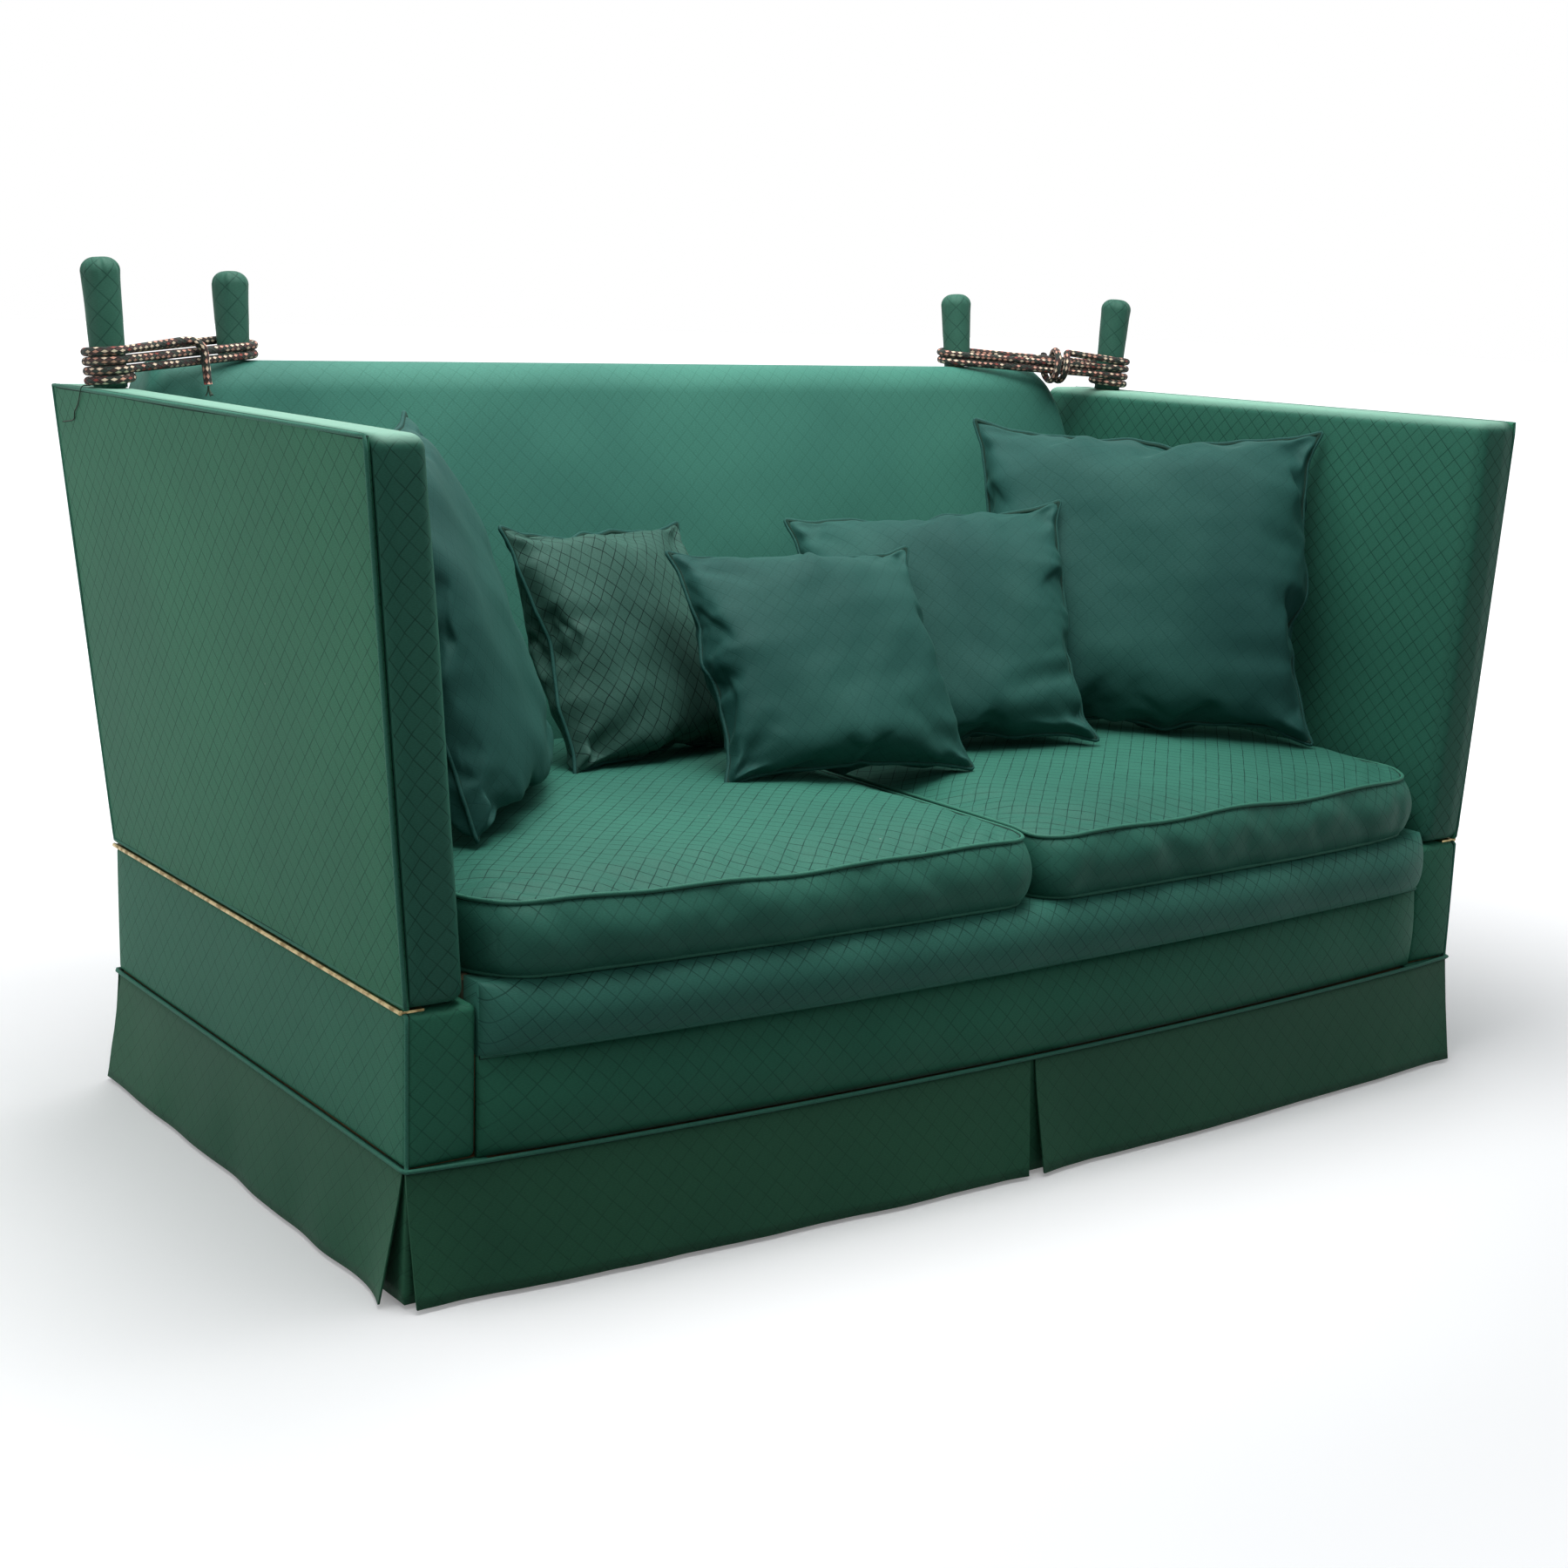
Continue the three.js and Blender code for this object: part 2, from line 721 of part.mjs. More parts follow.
for (const { name, sign } of sides) {
  const line = (along) => frontLine(sign * (halfWidth - along));
  add(base, "front_skirt_" + name, skirtPanel(line, frontPanelLength), fabric);
  const sideLine = (along) => ({
    top: new THREE.Vector3(sign * halfWidth, pleatOpening + along, 0),
    outward: new THREE.Vector3(sign, 0, 0),
  });
  add(base, name + "_skirt", skirtPanel(sideLine, baseDepth - 2 * pleatOpening), fabric);
}
const backLine = (along) => ({
  top: new THREE.Vector3(along - halfWidth, baseDepth, 0),
  outward: new THREE.Vector3(0, 1, 0),
});
add(base, "back_skirt", skirtPanel(backLine, baseWidth), fabric);

// Folded cloth behind the open pleats, one at the middle of the front and one at each front corner
const pleatSet = skirtThickness + touch;
function pleatBack(line, length, steps) {
  const rings = [];
  for (let i = 0; i <= steps; i++) {
    const { top, outward } = line((length * i) / steps);
    rings.push(skirtRing(top, outward, skirtFlare / 2));
  }
  return loft(rings);
}
const centrePleatLine = (along) => {
  const { top, outward } = frontLine(along - pleatBackWidth / 2);
  return { top: new THREE.Vector3(top.x, top.y + pleatSet, 0), outward };
};
add(base, "front_centre_pleat", pleatBack(centrePleatLine, pleatBackWidth, 4), fabric);
for (const { name, sign } of sides) {
  const cornerLine = (along) => {
    const run = pleatBackWidth / 2;
    const inset = pleatSet;
    if (along < run) {
      const x = sign * (halfWidth - inset - run + along);
      return { top: new THREE.Vector3(x, inset, 0), outward: new THREE.Vector3(0, -1, 0) };
    }
    const outward = along > run ? new THREE.Vector3(sign, 0, 0) : new THREE.Vector3(sign, -1, 0);
    return { top: new THREE.Vector3(sign * (halfWidth - inset), inset + along - run, 0), outward };
  };
  add(base, name + "_corner_pleat", pleatBack(cornerLine, pleatBackWidth, 4), fabric);
}

// Piano hinge: two leaves whose knuckles take turns along one pin
const hingeFront = hingeEndInset;
const hingeLength = baseDepth - 2 * hingeEndInset;
const knuckleCount = Math.round(hingeLength / knuckleLength);
const knucklePitch = hingeLength / knuckleCount;
function knuckle(index) {
  const shape = new THREE.Shape();
  const turn = Math.PI / knuckleSides;
  const corners = (radius) =>
    Array.from({ length: knuckleSides }, (_, i) => {
      const angle = turn * (2 * i + 1);
      return new THREE.Vector2(radius * Math.cos(angle), radius * Math.sin(angle));
    });
  shape.setFromPoints(corners(knuckleRadius));
  shape.holes.push(new THREE.Path(corners(knuckleBore).reverse()));
  const length = knucklePitch - knuckleClearance;
  const geometry = new THREE.ExtrudeGeometry(shape, { depth: length, bevelEnabled: false });
  geometry.rotateX(Math.PI / 2);
  const front = hingeFront + index * knucklePitch + knuckleClearance / 2;
  return geometry.translate(0, front + length, 0);
}
function leaf(sign, first, low) {
  const rings = [];
  for (let index = first; index < knuckleCount; index += 2) {
    rings.push(knuckle(index).translate(sign * hingeX, 0, hingeHeight));
  }
  const root = hingeX - knuckleBore - knuckleClearance;
  const plate = board(mirrored(sign, [halfWidth - leafWidth, root - knuckleBore / 2]),
    [hingeFront, hingeFront + hingeLength], [low, low + leafThickness]);
  const tabs = [];
  for (let index = first; index < knuckleCount; index += 2) {
    const front = hingeFront + index * knucklePitch + knuckleClearance / 2;
    tabs.push(board(mirrored(sign, [halfWidth - leafWidth, hingeX - knuckleBore]),
      [front, front + knucklePitch - knuckleClearance], [low, low + leafThickness]));
  }
  const others = [];
  for (let index = 1 - first; index < knuckleCount; index += 2) {
    const front = hingeFront + index * knucklePitch - knuckleClearance / 2;
    others.push(board(mirrored(sign, [halfWidth, hingeX + knuckleRadius]),
      [front, front + knucklePitch + knuckleClearance], [low - knuckleRadius, low + knuckleRadius]));
  }
  return join(cut(plate, ...others), ...tabs, ...rings);
}
for (const { name, sign } of sides) {
  add(base, name + "_hinge_base_leaf", leaf(sign, 0, baseTop + touch), brass);
  add(arms[name], name + "_hinge_arm_leaf", leaf(sign, 1, hingeHeight + leafGap / 2), brass);
  const pin = new THREE.CylinderGeometry(pinRadius, pinRadius, hingeLength, knuckleSides);
  pin.translate(sign * hingeX, hingeFront + hingeLength / 2, hingeHeight);
  add(base, name + "_hinge_pin", pin, brass);
}

// Each arm: a frame of four rails in a padded cover, closed by a flat outside panel
const pocketInner = armThickness - armPadThickness;
const frameInsets = [panelThickness + 2 * touch, pocketInner - softTouch];
const pocketFront = armEdgePad;
const pocketRear = baseDepth - armEdgePad;
const armFrameLow = armBottom + panelThickness + touch;
const armFrameHigh = armTop - armTopPad - touch;
for (const { name, sign } of sides) {
  const group = arms[name];
  const place = armPostPlace(sign);
  const lean = sign * leanAngle;
  const pocket = armBlock(
    sign,
    [-overrun, pocketInner],
    [pocketFront, pocketRear],
    [armBottom + panelThickness, armTop - armTopPad],
  );
  const hole = new THREE.CylinderGeometry(dowelRadius + touch, dowelRadius + touch,
    armTopPad * 3, postSides);
  hole.rotateX(Math.PI / 2);
  const seat = new THREE.CylinderGeometry(postFootRadius + softTouch, postFootRadius + softTouch,
    2 * postLetIn, postSides);
  seat.rotateX(Math.PI / 2);
  const padCuts = [pocket, placed(hole, lean, 0, place), placed(seat, lean, 0, place)];
  add(group, name + "_arm_pad", cut(armBody(sign, panelThickness + touch), ...padCuts), fabric);
  add(group, name + "_arm_outside_panel",
    armBlock(sign, [0, panelThickness], [0, baseDepth], [armBottom, armTop - touch]), fabric);

  const railLength = [pocketFront + touch, pocketRear - touch];
  const lowRail = [armFrameLow, armFrameLow + stileWidth];
  const highRail = [armFrameHigh - stileWidth, armFrameHigh];
  const between = [lowRail[1] + touch, highRail[0] - touch];
  const topRail = armBlock(sign, frameInsets, railLength, highRail);
  const core = placed(postCore(armPostHeight(sign)), lean, 0, place);
  const neck = placed(dowel(armTopPad + stileWidth / 2), lean, 0, place);
  add(group, name + "_arm_top_rail", join(topRail, core, neck), timber);
  add(group, name + "_arm_bottom_rail", armBlock(sign, frameInsets, railLength, lowRail), timber);
  const frontStile = [railLength[0], railLength[0] + stileWidth];
  const rearStile = [railLength[1] - stileWidth, railLength[1]];
  add(group, name + "_arm_front_stile", armBlock(sign, frameInsets, frontStile, between), timber);
  add(group, name + "_arm_rear_stile", armBlock(sign, frameInsets, rearStile, between), timber);
  add(group, name + "_arm_post_cover", placed(postCover(armPostHeight(sign)), lean, 0, {
    x: place.x, y: place.y, z: place.z + softTouch,
  }), fabric);
}

// Seat cushions: boxed, crowned, with sides that swell between the seams
const seatLow = lipTop + softTouch;
const seatPipe = seatLow + seatCushionSide;
const seatRear = rearAt(seatPipe) - backThicknessAt(seatLow) - backCrown - seatBackGap;
const seatOuter = armInnerAt(seatLow) - softTouch - seatSideBulge;
const seatInner = seatCentreGap / 2 + seatSideBulge;
function seatCushion(sign) {
  const steps = seatSteps;
  const middle = (seatOuter + seatInner) / 2;
  const reach = (seatOuter - seatInner) / 2;
  const cornerShare = 0.05;
  const crownPower = 2.4;
  const plan = (u, v, swell) => {
    const corner = cornerShare * Math.abs(u * v) ** (steps / 2);
    const x = sign * middle + (reach * (1 - corner) + swell - seatDraw * (1 - v * v) / 2) * u;
    const front = -seatFrontStand - seatFrontBow * (1 - (x / innerHalf) ** 2) + seatFrontBow / 2;
    const half = (seatRear - front) / 2;
    return [x, (seatRear + front) / 2 + (half * (1 - corner) + swell) * v];
  };
  const spread = (i) => Math.sin((Math.PI / 2) * ((2 * i) / steps - 1));
  const points = [];
  for (let j = 0; j <= steps; j++) {
    for (let i = 0; i <= steps; i++) {
      const [u, v] = [spread(i), spread(j)];
      const rise = (1 - Math.abs(u) ** crownPower) * (1 - Math.abs(v) ** crownPower);
      const [x, y] = plan(u, v, 0);
      points.push(new THREE.Vector3(x, y, seatPipe + seatCrown * rise));
    }
  }
  const at = (i, j) => j * (steps + 1) + i;
  const triangles = [];
  for (let j = 0; j < steps; j++) {
    for (let i = 0; i < steps; i++) {
      const [a, b] = [at(i, j), at(i + 1, j)];
      const [c, d] = [at(i + 1, j + 1), at(i, j + 1)];
      triangles.push([a, b, c], [a, c, d]);
    }
  }
  const rim = [];
  for (let i = 0; i < steps; i++) rim.push([i, 0]);
  for (let j = 0; j < steps; j++) rim.push([steps, j]);
  for (let i = steps; i > 0; i--) rim.push([i, steps]);
  for (let j = steps; j > 0; j--) rim.push([0, j]);
  let above = rim.map(([i, j]) => at(i, j));
  for (const [swell, height] of [
    [seatSideBulge, (seatPipe + seatLow) / 2],
    [0, seatLow],
  ]) {
    const below = rim.map(([i, j]) => {
      const [x, y] = plan(spread(i), spread(j), swell);
      return points.push(new THREE.Vector3(x, y, height)) - 1;
    });
    below.forEach((low, k) => {
      const next = (k + 1) % rim.length;
      triangles.push([above[k], low, below[next]], [above[k], below[next], above[next]]);
    });
    above = below;
  }
  const bottom = points.push(new THREE.Vector3(sign * middle, seatRear / 2, seatLow)) - 1;
  above.forEach((low, k) => triangles.push([low, bottom, above[(k + 1) % rim.length]]));
  return closedSurface(points, triangles);
}
for (const { name, sign } of sides) {
  add(base, name + "_seat_cushion", seatCushion(sign), cushionFabric);
}

// Scatter cushions: two faces seamed together, full in the middle, drawn in between pointed corners
function pillow(width, height, thickness) {
  const steps = pillowSteps;
  const spread = (i) => Math.sin((Math.PI / 2) * ((2 * i) / steps - 1));
  const points = [];
  const index = new Map();
  for (const side of [-1, 1]) {
    for (let j = 0; j <= steps; j++) {
      for (let i = 0; i <= steps; i++) {
        const rim = i === 0 || j === 0 || i === steps || j === steps;
        const key = rim ? `${i},${j}` : `${i},${j},${side}`;
        if (index.has(key)) continue;
        const [u, v] = [spread(i), spread(j)];
        const x = (width / 2) * u * (1 - pillowDrawShare * (1 - v * v));
        const z = (height / 2) * v * (1 - pillowDrawShare * (1 - u * u));
        const full = rim ? 0 : ((1 - u * u) * (1 - v * v)) ** pillowFullShare;
        index.set(key, points.push(new THREE.Vector3(x, (side * full * thickness) / 2, z)) - 1);
      }
    }
  }
  const at = (i, j, side) => {
    const key = `${i},${j}`;
    return index.has(key) ? index.get(key) : index.get(`${key},${side}`);
  };
  const triangles = [];
  for (const side of [-1, 1]) {
    for (let j = 0; j < steps; j++) {
      for (let i = 0; i < steps; i++) {
        const [a, b] = [at(i, j, side), at(i + 1, j, side)];
        const [c, d] = [at(i + 1, j + 1, side), at(i, j + 1, side)];
        const halves = i + j < steps ? [[a, b, d], [b, c, d]] : [[a, b, c], [a, c, d]];
        triangles.push(...(side < 0 ? halves : halves.map(([p, q, r]) => [p, r, q])));
      }
    }
  }
  return closedSurface(points, triangles);
}

// The widths, heights and fullness of the scatter cushions
const largePillow = { width: 566, height: 524, thickness: 165 };
const middlePillow = { width: 446, height: 414, thickness: 140 };
const smallPillow = { width: 404, height: 380, thickness: 135 };
const cornerPillow = { width: 412, height: 376, thickness: 128 };
const leftPillow = { width: 446, height: 530, thickness: 150 };

// Where each cushion is set down, and how it is turned. Across, it stands in from an arm by a share of
// the large cushion's width on that side, and the middle one is placed by a share of the half width.
// Along, all are placed by a share of the depth.
const pillows = [
  { name: "right_large_cushion", size: largePillow, sign: 1, armShare: 0.423, backShare: 0.436,
    yaw: -42, lean: 24, roll: 0 },
  { name: "left_large_cushion", size: leftPillow, sign: -1, armShare: 0.367, backShare: 0.42,
    yaw: 51, lean: 21, roll: 0 },
  { name: "right_small_cushion", size: middlePillow, sign: 1, armShare: 1.034, backShare: 0.508,
    yaw: -33, lean: 32, roll: -6 },
  { name: "left_small_cushion", size: cornerPillow, sign: -1, armShare: 1.265, backShare: 0.628,
    yaw: 20, lean: 26, roll: 3 },
  { name: "centre_small_cushion", size: smallPillow, sign: -1, acrossShare: 0.069, backShare: 0.402,
    yaw: -9, lean: 37, roll: 0 },
];
const pillowApproach = 170;
const pillowLift = 90;
const pillowStride = 6;
const settleSteps = 7;

// Moves a cushion along a direction until it would touch, and leaves the clearance
function settle(shape, obstacles, direction, most) {
  const overlaps = (distance) => {
    const moved = shape.translate(direction.clone().multiplyScalar(distance).toArray());
    return obstacles.some((other) => moved.intersect(other).volume() > 0);
  };
  let free = 0;
  while (free < most && !overlaps(Math.min(free + pillowStride, most))) free += pillowStride;
  if (free >= most) return direction.clone().multiplyScalar(most);
  let hit = free + pillowStride;
  for (let i = 0; i < settleSteps; i++) {
    const middle = (free + hit) / 2;
    if (overlaps(middle)) hit = middle;
    else free = middle;
  }
  return direction.clone().multiplyScalar(Math.max(0, free - softTouch));
}
const obstacles = sofa.getObjectsByProperty("isMesh", true)
  .filter(({ name }) => /_arm_pad$|inside_back_pad|_seat_cushion$/.test(name))
  .map(({ geometry }) => solidOf(geometry));
for (const { name, size, sign, armShare, acrossShare, backShare, yaw, lean, roll } of pillows) {
  const degrees = THREE.MathUtils.degToRad;
  const turn = new THREE.Euler(-degrees(lean), degrees(roll), degrees(yaw), "ZXY");
  const matrix = new THREE.Matrix4().makeRotationFromEuler(turn);
  const back = new THREE.Vector3(-Math.sin(degrees(yaw)), Math.cos(degrees(yaw)), 0);
  const down = new THREE.Vector3(0, 0, -1);
  const beside = sign < 0 ? leftPillow : largePillow;
  const across = armShare ? innerHalf - beside.width * armShare : acrossShare * halfWidth;
  const place = new THREE.Vector3(
    sign * across,
    backShare * baseDepth,
    seatPipe + seatCrown + size.height / 2 + pillowLift,
  ).addScaledVector(back, -pillowApproach);
  const geometry = pillow(size.width, size.height, size.thickness).applyMatrix4(matrix);
  const shape = solidOf(geometry);
  const stages = [[back, pillowApproach], [down, 2 * pillowLift + size.height / 2],
    [back, pillowStride * 2], [down, pillowLift]];
  for (const [direction, most] of stages) {
    place.add(settle(shape.translate(place.toArray()), obstacles, direction, most));
  }
  geometry.translate(place.x, place.y, place.z);
  add(base, name, geometry, cushionFabric);
  obstacles.push(solidOf(geometry));
}

// The ropes: one unbroken length on each side, laced round both posts. Three strands run in front of
// the posts and two behind; the left rope ends in a hanging tail, the right one in turns that bind
// its strands into a knot.
const ropePitch = 2 * ropeRadius + ropeGap;
const strandSteps = 4;
function ropeRoute(sign, bound) {
  const spin = -sign;
  const armBase = armPostPlace(sign);
  const backBase = backPostPlace(sign);
  const head = postHeadRadius - postFootRadius;
  const arm = {
    centre: (z) => ({ x: armBase.x + sign * Math.tan(leanAngle) * (z - armTop), y: armBase.y }),
    radius: (z) => postFootRadius + (head * (z - armTop)) / armPostHeight(sign) + ropeRadius + ropeGap,
    level: (turns) => armTop + ropeRadius + 2 * ropeGap + ropePitch * turns,
  };
  const back = {
    centre: (z) => ({ x: backBase.x, y: backBase.y + Math.tan(rakeAngle) * (z - backTop) }),
    radius: (z) => postFootRadius + (head * (z - backTop)) / backPostHeight + ropeRadius + ropeGap,
    level: (turns) => backTop + ropeRadius + 2 * ropeGap + ropePitch * turns,
  };
  const heading = new THREE.Vector3(backBase.x - armBase.x, backBase.y - armBase.y, 0).normalize();
  const front = new THREE.Vector3(heading.y, -heading.x, 0).multiplyScalar(spin);
  // A point between the posts: its share of the way from the arm post, how far in front, and its height
  const between = (share, out, z) => {
    const from = arm.centre(z);
    const to = back.centre(z);
    return new THREE.Vector3(from.x + (to.x - from.x) * share, from.y + (to.y - from.y) * share, z)
      .addScaledVector(front, out);
  };
  const passes = (out, fromLevel, toLevel) => {
    const levelAt = (share) => fromLevel + (toLevel - fromLevel) * share;
    const shares = bound ? knotShares : [1 / 2];
    const place = bound ? (out > 0 ? knotOut + knotHalf : knotOut - knotHalf) : out;
    return shares.map((share) => between(share, place, levelAt(share)));
  };
  const tangent = (post, z, point, way) => {
    const centre = post.centre(z);
    const [x, y] = [point.x - centre.x, point.y - centre.y];
    return Math.atan2(y, x) + way * Math.acos(post.radius(z) / Math.hypot(x, y));
  };
  const points = [];
  const wind = (post, turns, start, end, more) => {
    const from = post.level(turns);
    let sweep = (end - start) * spin;
    while (sweep < 0) sweep += 2 * Math.PI;
    sweep = (sweep % (2 * Math.PI)) + more * 2 * Math.PI;
    const steps = Math.ceil((sweep / (2 * Math.PI)) * turnSteps);
    for (let i = 0; i <= steps; i++) {
      const turned = (sweep * i) / steps;
      const z = from + (ropePitch * turned) / (2 * Math.PI);
      const centre = post.centre(z);
      const angle = start + spin * turned;
      const radius = post.radius(z);
      points.push(new THREE.Vector3(
        centre.x + radius * Math.cos(angle), centre.y + radius * Math.sin(angle), z));
    }
  };
  const frontOut = postFootRadius + ropeRadius + ropeGap;
  const rise = 1 / 2;
  const frontStrand = (lap) => passes(frontOut, arm.level(lap + 1 + rise), back.level(lap));
  const rearStrand = (lap) => passes(-frontOut, arm.level(lap + 2), back.level(lap + rise));
  const far = Math.atan2(heading.y, heading.x) + Math.PI;
  let start = far - spin * (Math.PI / 2);
  let turns = 0;
  for (let lap = 0; lap < ropeLaps; lap++) {
    const out = frontStrand(lap);
    wind(arm, turns, start, tangent(arm, arm.level(turns + rise), out[0], -spin), lap ? 0 : 1);
    points.push(...out);
    const last = out[out.length - 1];
    const returning = rearStrand(lap).reverse();
    wind(back, lap, tangent(back, back.level(lap), last, spin),
      tangent(back, back.level(lap + rise), returning[0], -spin), 0);
    points.push(...returning);
    turns = lap + 2;
    start = tangent(arm, arm.level(turns), returning[returning.length - 1], spin);
  }
  const high = arm.level(turns + rise);
  if (bound) {
    // The right rope binds its own strands together in front of the corner of the back
    const middle = (frontStrand(0)[0].z + rearStrand(ropeLaps - 1)[0].z) / 2;
    const entry = between(knotShares[0], knotOut + knotRadius * Math.cos(knotStart),
      middle + knotRadius * Math.sin(knotStart));
    wind(arm, turns, start, tangent(arm, high, entry, -spin), 0);
    const steps = Math.ceil(knotTurns * turnSteps);
    for (let i = 0; i <= steps; i++) {
      const share = knotShares[0] + ((knotShares[1] - knotShares[0]) * i) / steps;
      const turn = knotStart - (2 * Math.PI * knotTurns * i) / steps;
      points.push(between(share, knotOut + knotRadius * Math.cos(turn),
        middle + knotRadius * Math.sin(turn)));
    }
    return points;
  }
  // The left rope hangs down over its front strands
  const over = high + ropePitch * tailLiftShare;
  const tailOut = frontOut + ropePitch + ropeGap;
  const hang = [
    [tailShare - tailBend, frontOut, over],
    [tailShare - tailBend / 3, frontOut + ropeRadius, over],
    [tailShare, tailOut - ropeGap, over - ropeRadius],
    [tailShare + tailBend / 6, tailOut, over - ropePitch],
  ].map(([share, out, z]) => between(share, out, z));
  wind(arm, turns, start, tangent(arm, high, hang[0], -spin), 0);
  points.push(...hang);
  for (let i = 1; i <= strandSteps; i++) {
    const z = over - ropePitch - (ropeTailReach * i) / strandSteps;
    points.push(between(tailShare + tailBend / 6, tailOut + ropeGap * i, z));
  }
  return points;
}

function tube(points, radius, count) {
  const rings = [];
  let across = new THREE.Vector3(0, 0, 1);
  points.forEach((point, i) => {
    const before = points[Math.max(0, i - 1)];
    const after = points[Math.min(points.length - 1, i + 1)];
    const tangent = after.clone().sub(before).normalize();
    across = across.clone().addScaledVector(tangent, -across.dot(tangent));
    if (across.length() < Number.EPSILON) across.set(1, 0, 0);
    across.normalize();
    const up = new THREE.Vector3().crossVectors(tangent, across);
    rings.push(Array.from({ length: count }, (_, k) => {
      const turn = (2 * Math.PI * k) / count;
      return point.clone().addScaledVector(across, radius * Math.cos(turn))
        .addScaledVector(up, radius * Math.sin(turn));
    }));
  });
  return loft(rings);
}

// The least gap between stretches of a rope that aren't neighbours along it
function leastGap(points) {
  const fine = [];
  const parts = 4;
  for (let i = 0; i + 1 < points.length; i++) {
    for (let k = 0; k < parts; k++) fine.push(points[i].clone().lerp(points[i + 1], k / parts));
  }
  const reach = new Float64Array(fine.length);
  for (let i = 1; i < fine.length; i++) reach[i] = reach[i - 1] + fine[i].distanceTo(fine[i - 1]);
  let least = Infinity;
  for (let i = 0; i < fine.length; i++) {
    for (let j = i + 1; j < fine.length; j++) {
      if (reach[j] - reach[i] < Math.PI * 2 * ropeRadius) continue;
      least = Math.min(least, fine[i].distanceTo(fine[j]));
    }
  }
  return { gap: least - 2 * ropeRadius, length: reach[fine.length - 1] };
}
for (const { name, sign } of sides) {
  const route = ropeRoute(sign, sign > 0);
  const { gap, length } = leastGap(route);
  console.log(`${name} rope: ${length.toFixed(0)} mm long, least gap to itself ${gap.toFixed(2)} mm`);
  add(base, name + "_rope", tube(route, ropeRadius, ropeSides), braid);
}

// The origin goes to the middle of the sofa's depth
const extent = new THREE.Box3().setFromObject(sofa);
sofa.position.y = -(extent.min.y + extent.max.y) / 2;
console.log(`moved by ${sofa.position.y.toFixed(3)} mm along the depth`);

export default sofa;
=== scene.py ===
import math

import bpy
import numpy as np
from mathutils import Matrix, Vector


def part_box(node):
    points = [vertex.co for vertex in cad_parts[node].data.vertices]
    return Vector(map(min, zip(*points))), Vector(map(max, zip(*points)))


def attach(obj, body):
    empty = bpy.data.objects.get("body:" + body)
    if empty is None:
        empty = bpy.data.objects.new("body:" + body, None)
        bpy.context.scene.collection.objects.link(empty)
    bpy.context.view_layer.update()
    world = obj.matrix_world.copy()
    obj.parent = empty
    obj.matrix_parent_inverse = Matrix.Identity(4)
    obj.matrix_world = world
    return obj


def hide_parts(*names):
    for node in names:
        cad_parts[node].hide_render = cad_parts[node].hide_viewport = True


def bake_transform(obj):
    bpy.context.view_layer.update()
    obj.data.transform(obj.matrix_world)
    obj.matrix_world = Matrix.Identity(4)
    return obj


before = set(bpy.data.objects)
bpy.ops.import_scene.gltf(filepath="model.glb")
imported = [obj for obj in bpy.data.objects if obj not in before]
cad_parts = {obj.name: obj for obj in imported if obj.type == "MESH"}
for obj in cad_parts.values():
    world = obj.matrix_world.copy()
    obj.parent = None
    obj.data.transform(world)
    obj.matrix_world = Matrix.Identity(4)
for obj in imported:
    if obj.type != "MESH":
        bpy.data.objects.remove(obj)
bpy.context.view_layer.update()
SHIFT = -0.459333


def added(name, data):
    """A new object in the scene."""
    obj = bpy.data.objects.new(name, data)
    bpy.context.scene.collection.objects.link(obj)
    return obj


def added_mesh(name, points, faces):
    mesh = bpy.data.meshes.new(name)
    mesh.from_pydata([tuple(map(float, p)) for p in points], [], [tuple(map(int, f)) for f in faces])
    return added(name, mesh), mesh


# ---------------------------------------------------------------- camera
YAW, PITCH, ROLL = 0.6261, 0.2101, 0.0346
CAMERA_PLACE = (-2.0443184, -2.2869069 + SHIFT, 1.1684144)
FOCAL_PIXELS, PHOTO_PIXELS, SENSOR = 2714.8598, 1800, 36.0
flat_reach = math.cos(PITCH)
forward = np.array([math.sin(YAW) * flat_reach, math.cos(YAW) * flat_reach, -math.sin(PITCH)])
level = np.array([math.cos(YAW), -math.sin(YAW), 0.0])
upward = np.cross(level, forward)
right = math.cos(ROLL) * level + math.sin(ROLL) * upward
up = -math.sin(ROLL) * level + math.cos(ROLL) * upward
camera = added("camera", bpy.data.cameras.new("camera"))
camera.data.sensor_width = SENSOR
camera.data.lens = SENSOR * FOCAL_PIXELS / PHOTO_PIXELS
camera.data.clip_start, camera.data.clip_end = 0.1, 60
turn = Matrix([list(right), list(up), list(-forward)]).transposed().to_4x4()
camera.matrix_world = Matrix.Translation(CAMERA_PLACE) @ turn
bpy.context.scene.camera = camera

# ---------------------------------------------------------------- sizes shared with the solids
HALF, DEPTH, INNER = 0.9, 0.912, 0.81
ARM_LOW, ARM_TOP, ARM_THICK, FLARE = 0.3543, 0.995, 0.077, 0.0475
BASE_TOP, SKIRT_TOP, BACK_TOP = 0.351, 0.166, 1.030
RAKE, RAKE_FROM = 0.067, 0.351
LEAN_ANGLE = math.atan(FLARE / (ARM_TOP - ARM_LOW))
RAKE_ANGLE = math.atan(RAKE / (ARM_TOP - BASE_TOP))
SIDES = (("left", -1), ("right", 1))


def lean_at(z):
    return FLARE * (z - ARM_LOW) / (ARM_TOP - ARM_LOW)


def rake_at(z):
    return RAKE * np.maximum(0, z - RAKE_FROM) / (ARM_TOP - RAKE_FROM)


def rear_at(z):
    return DEPTH + rake_at(z)


def shifted(points):
    return points + np.array([0, SHIFT, 0])


def arm_point(sign, inset, along, z):
    """A point of an arm from its distance in from the outer face, along from the front, and height."""
    x, y = sign * (HALF + lean_at(z) - inset), along * (1 + rake_at(z) / DEPTH) + SHIFT
    return np.stack([x, y, z], -1)


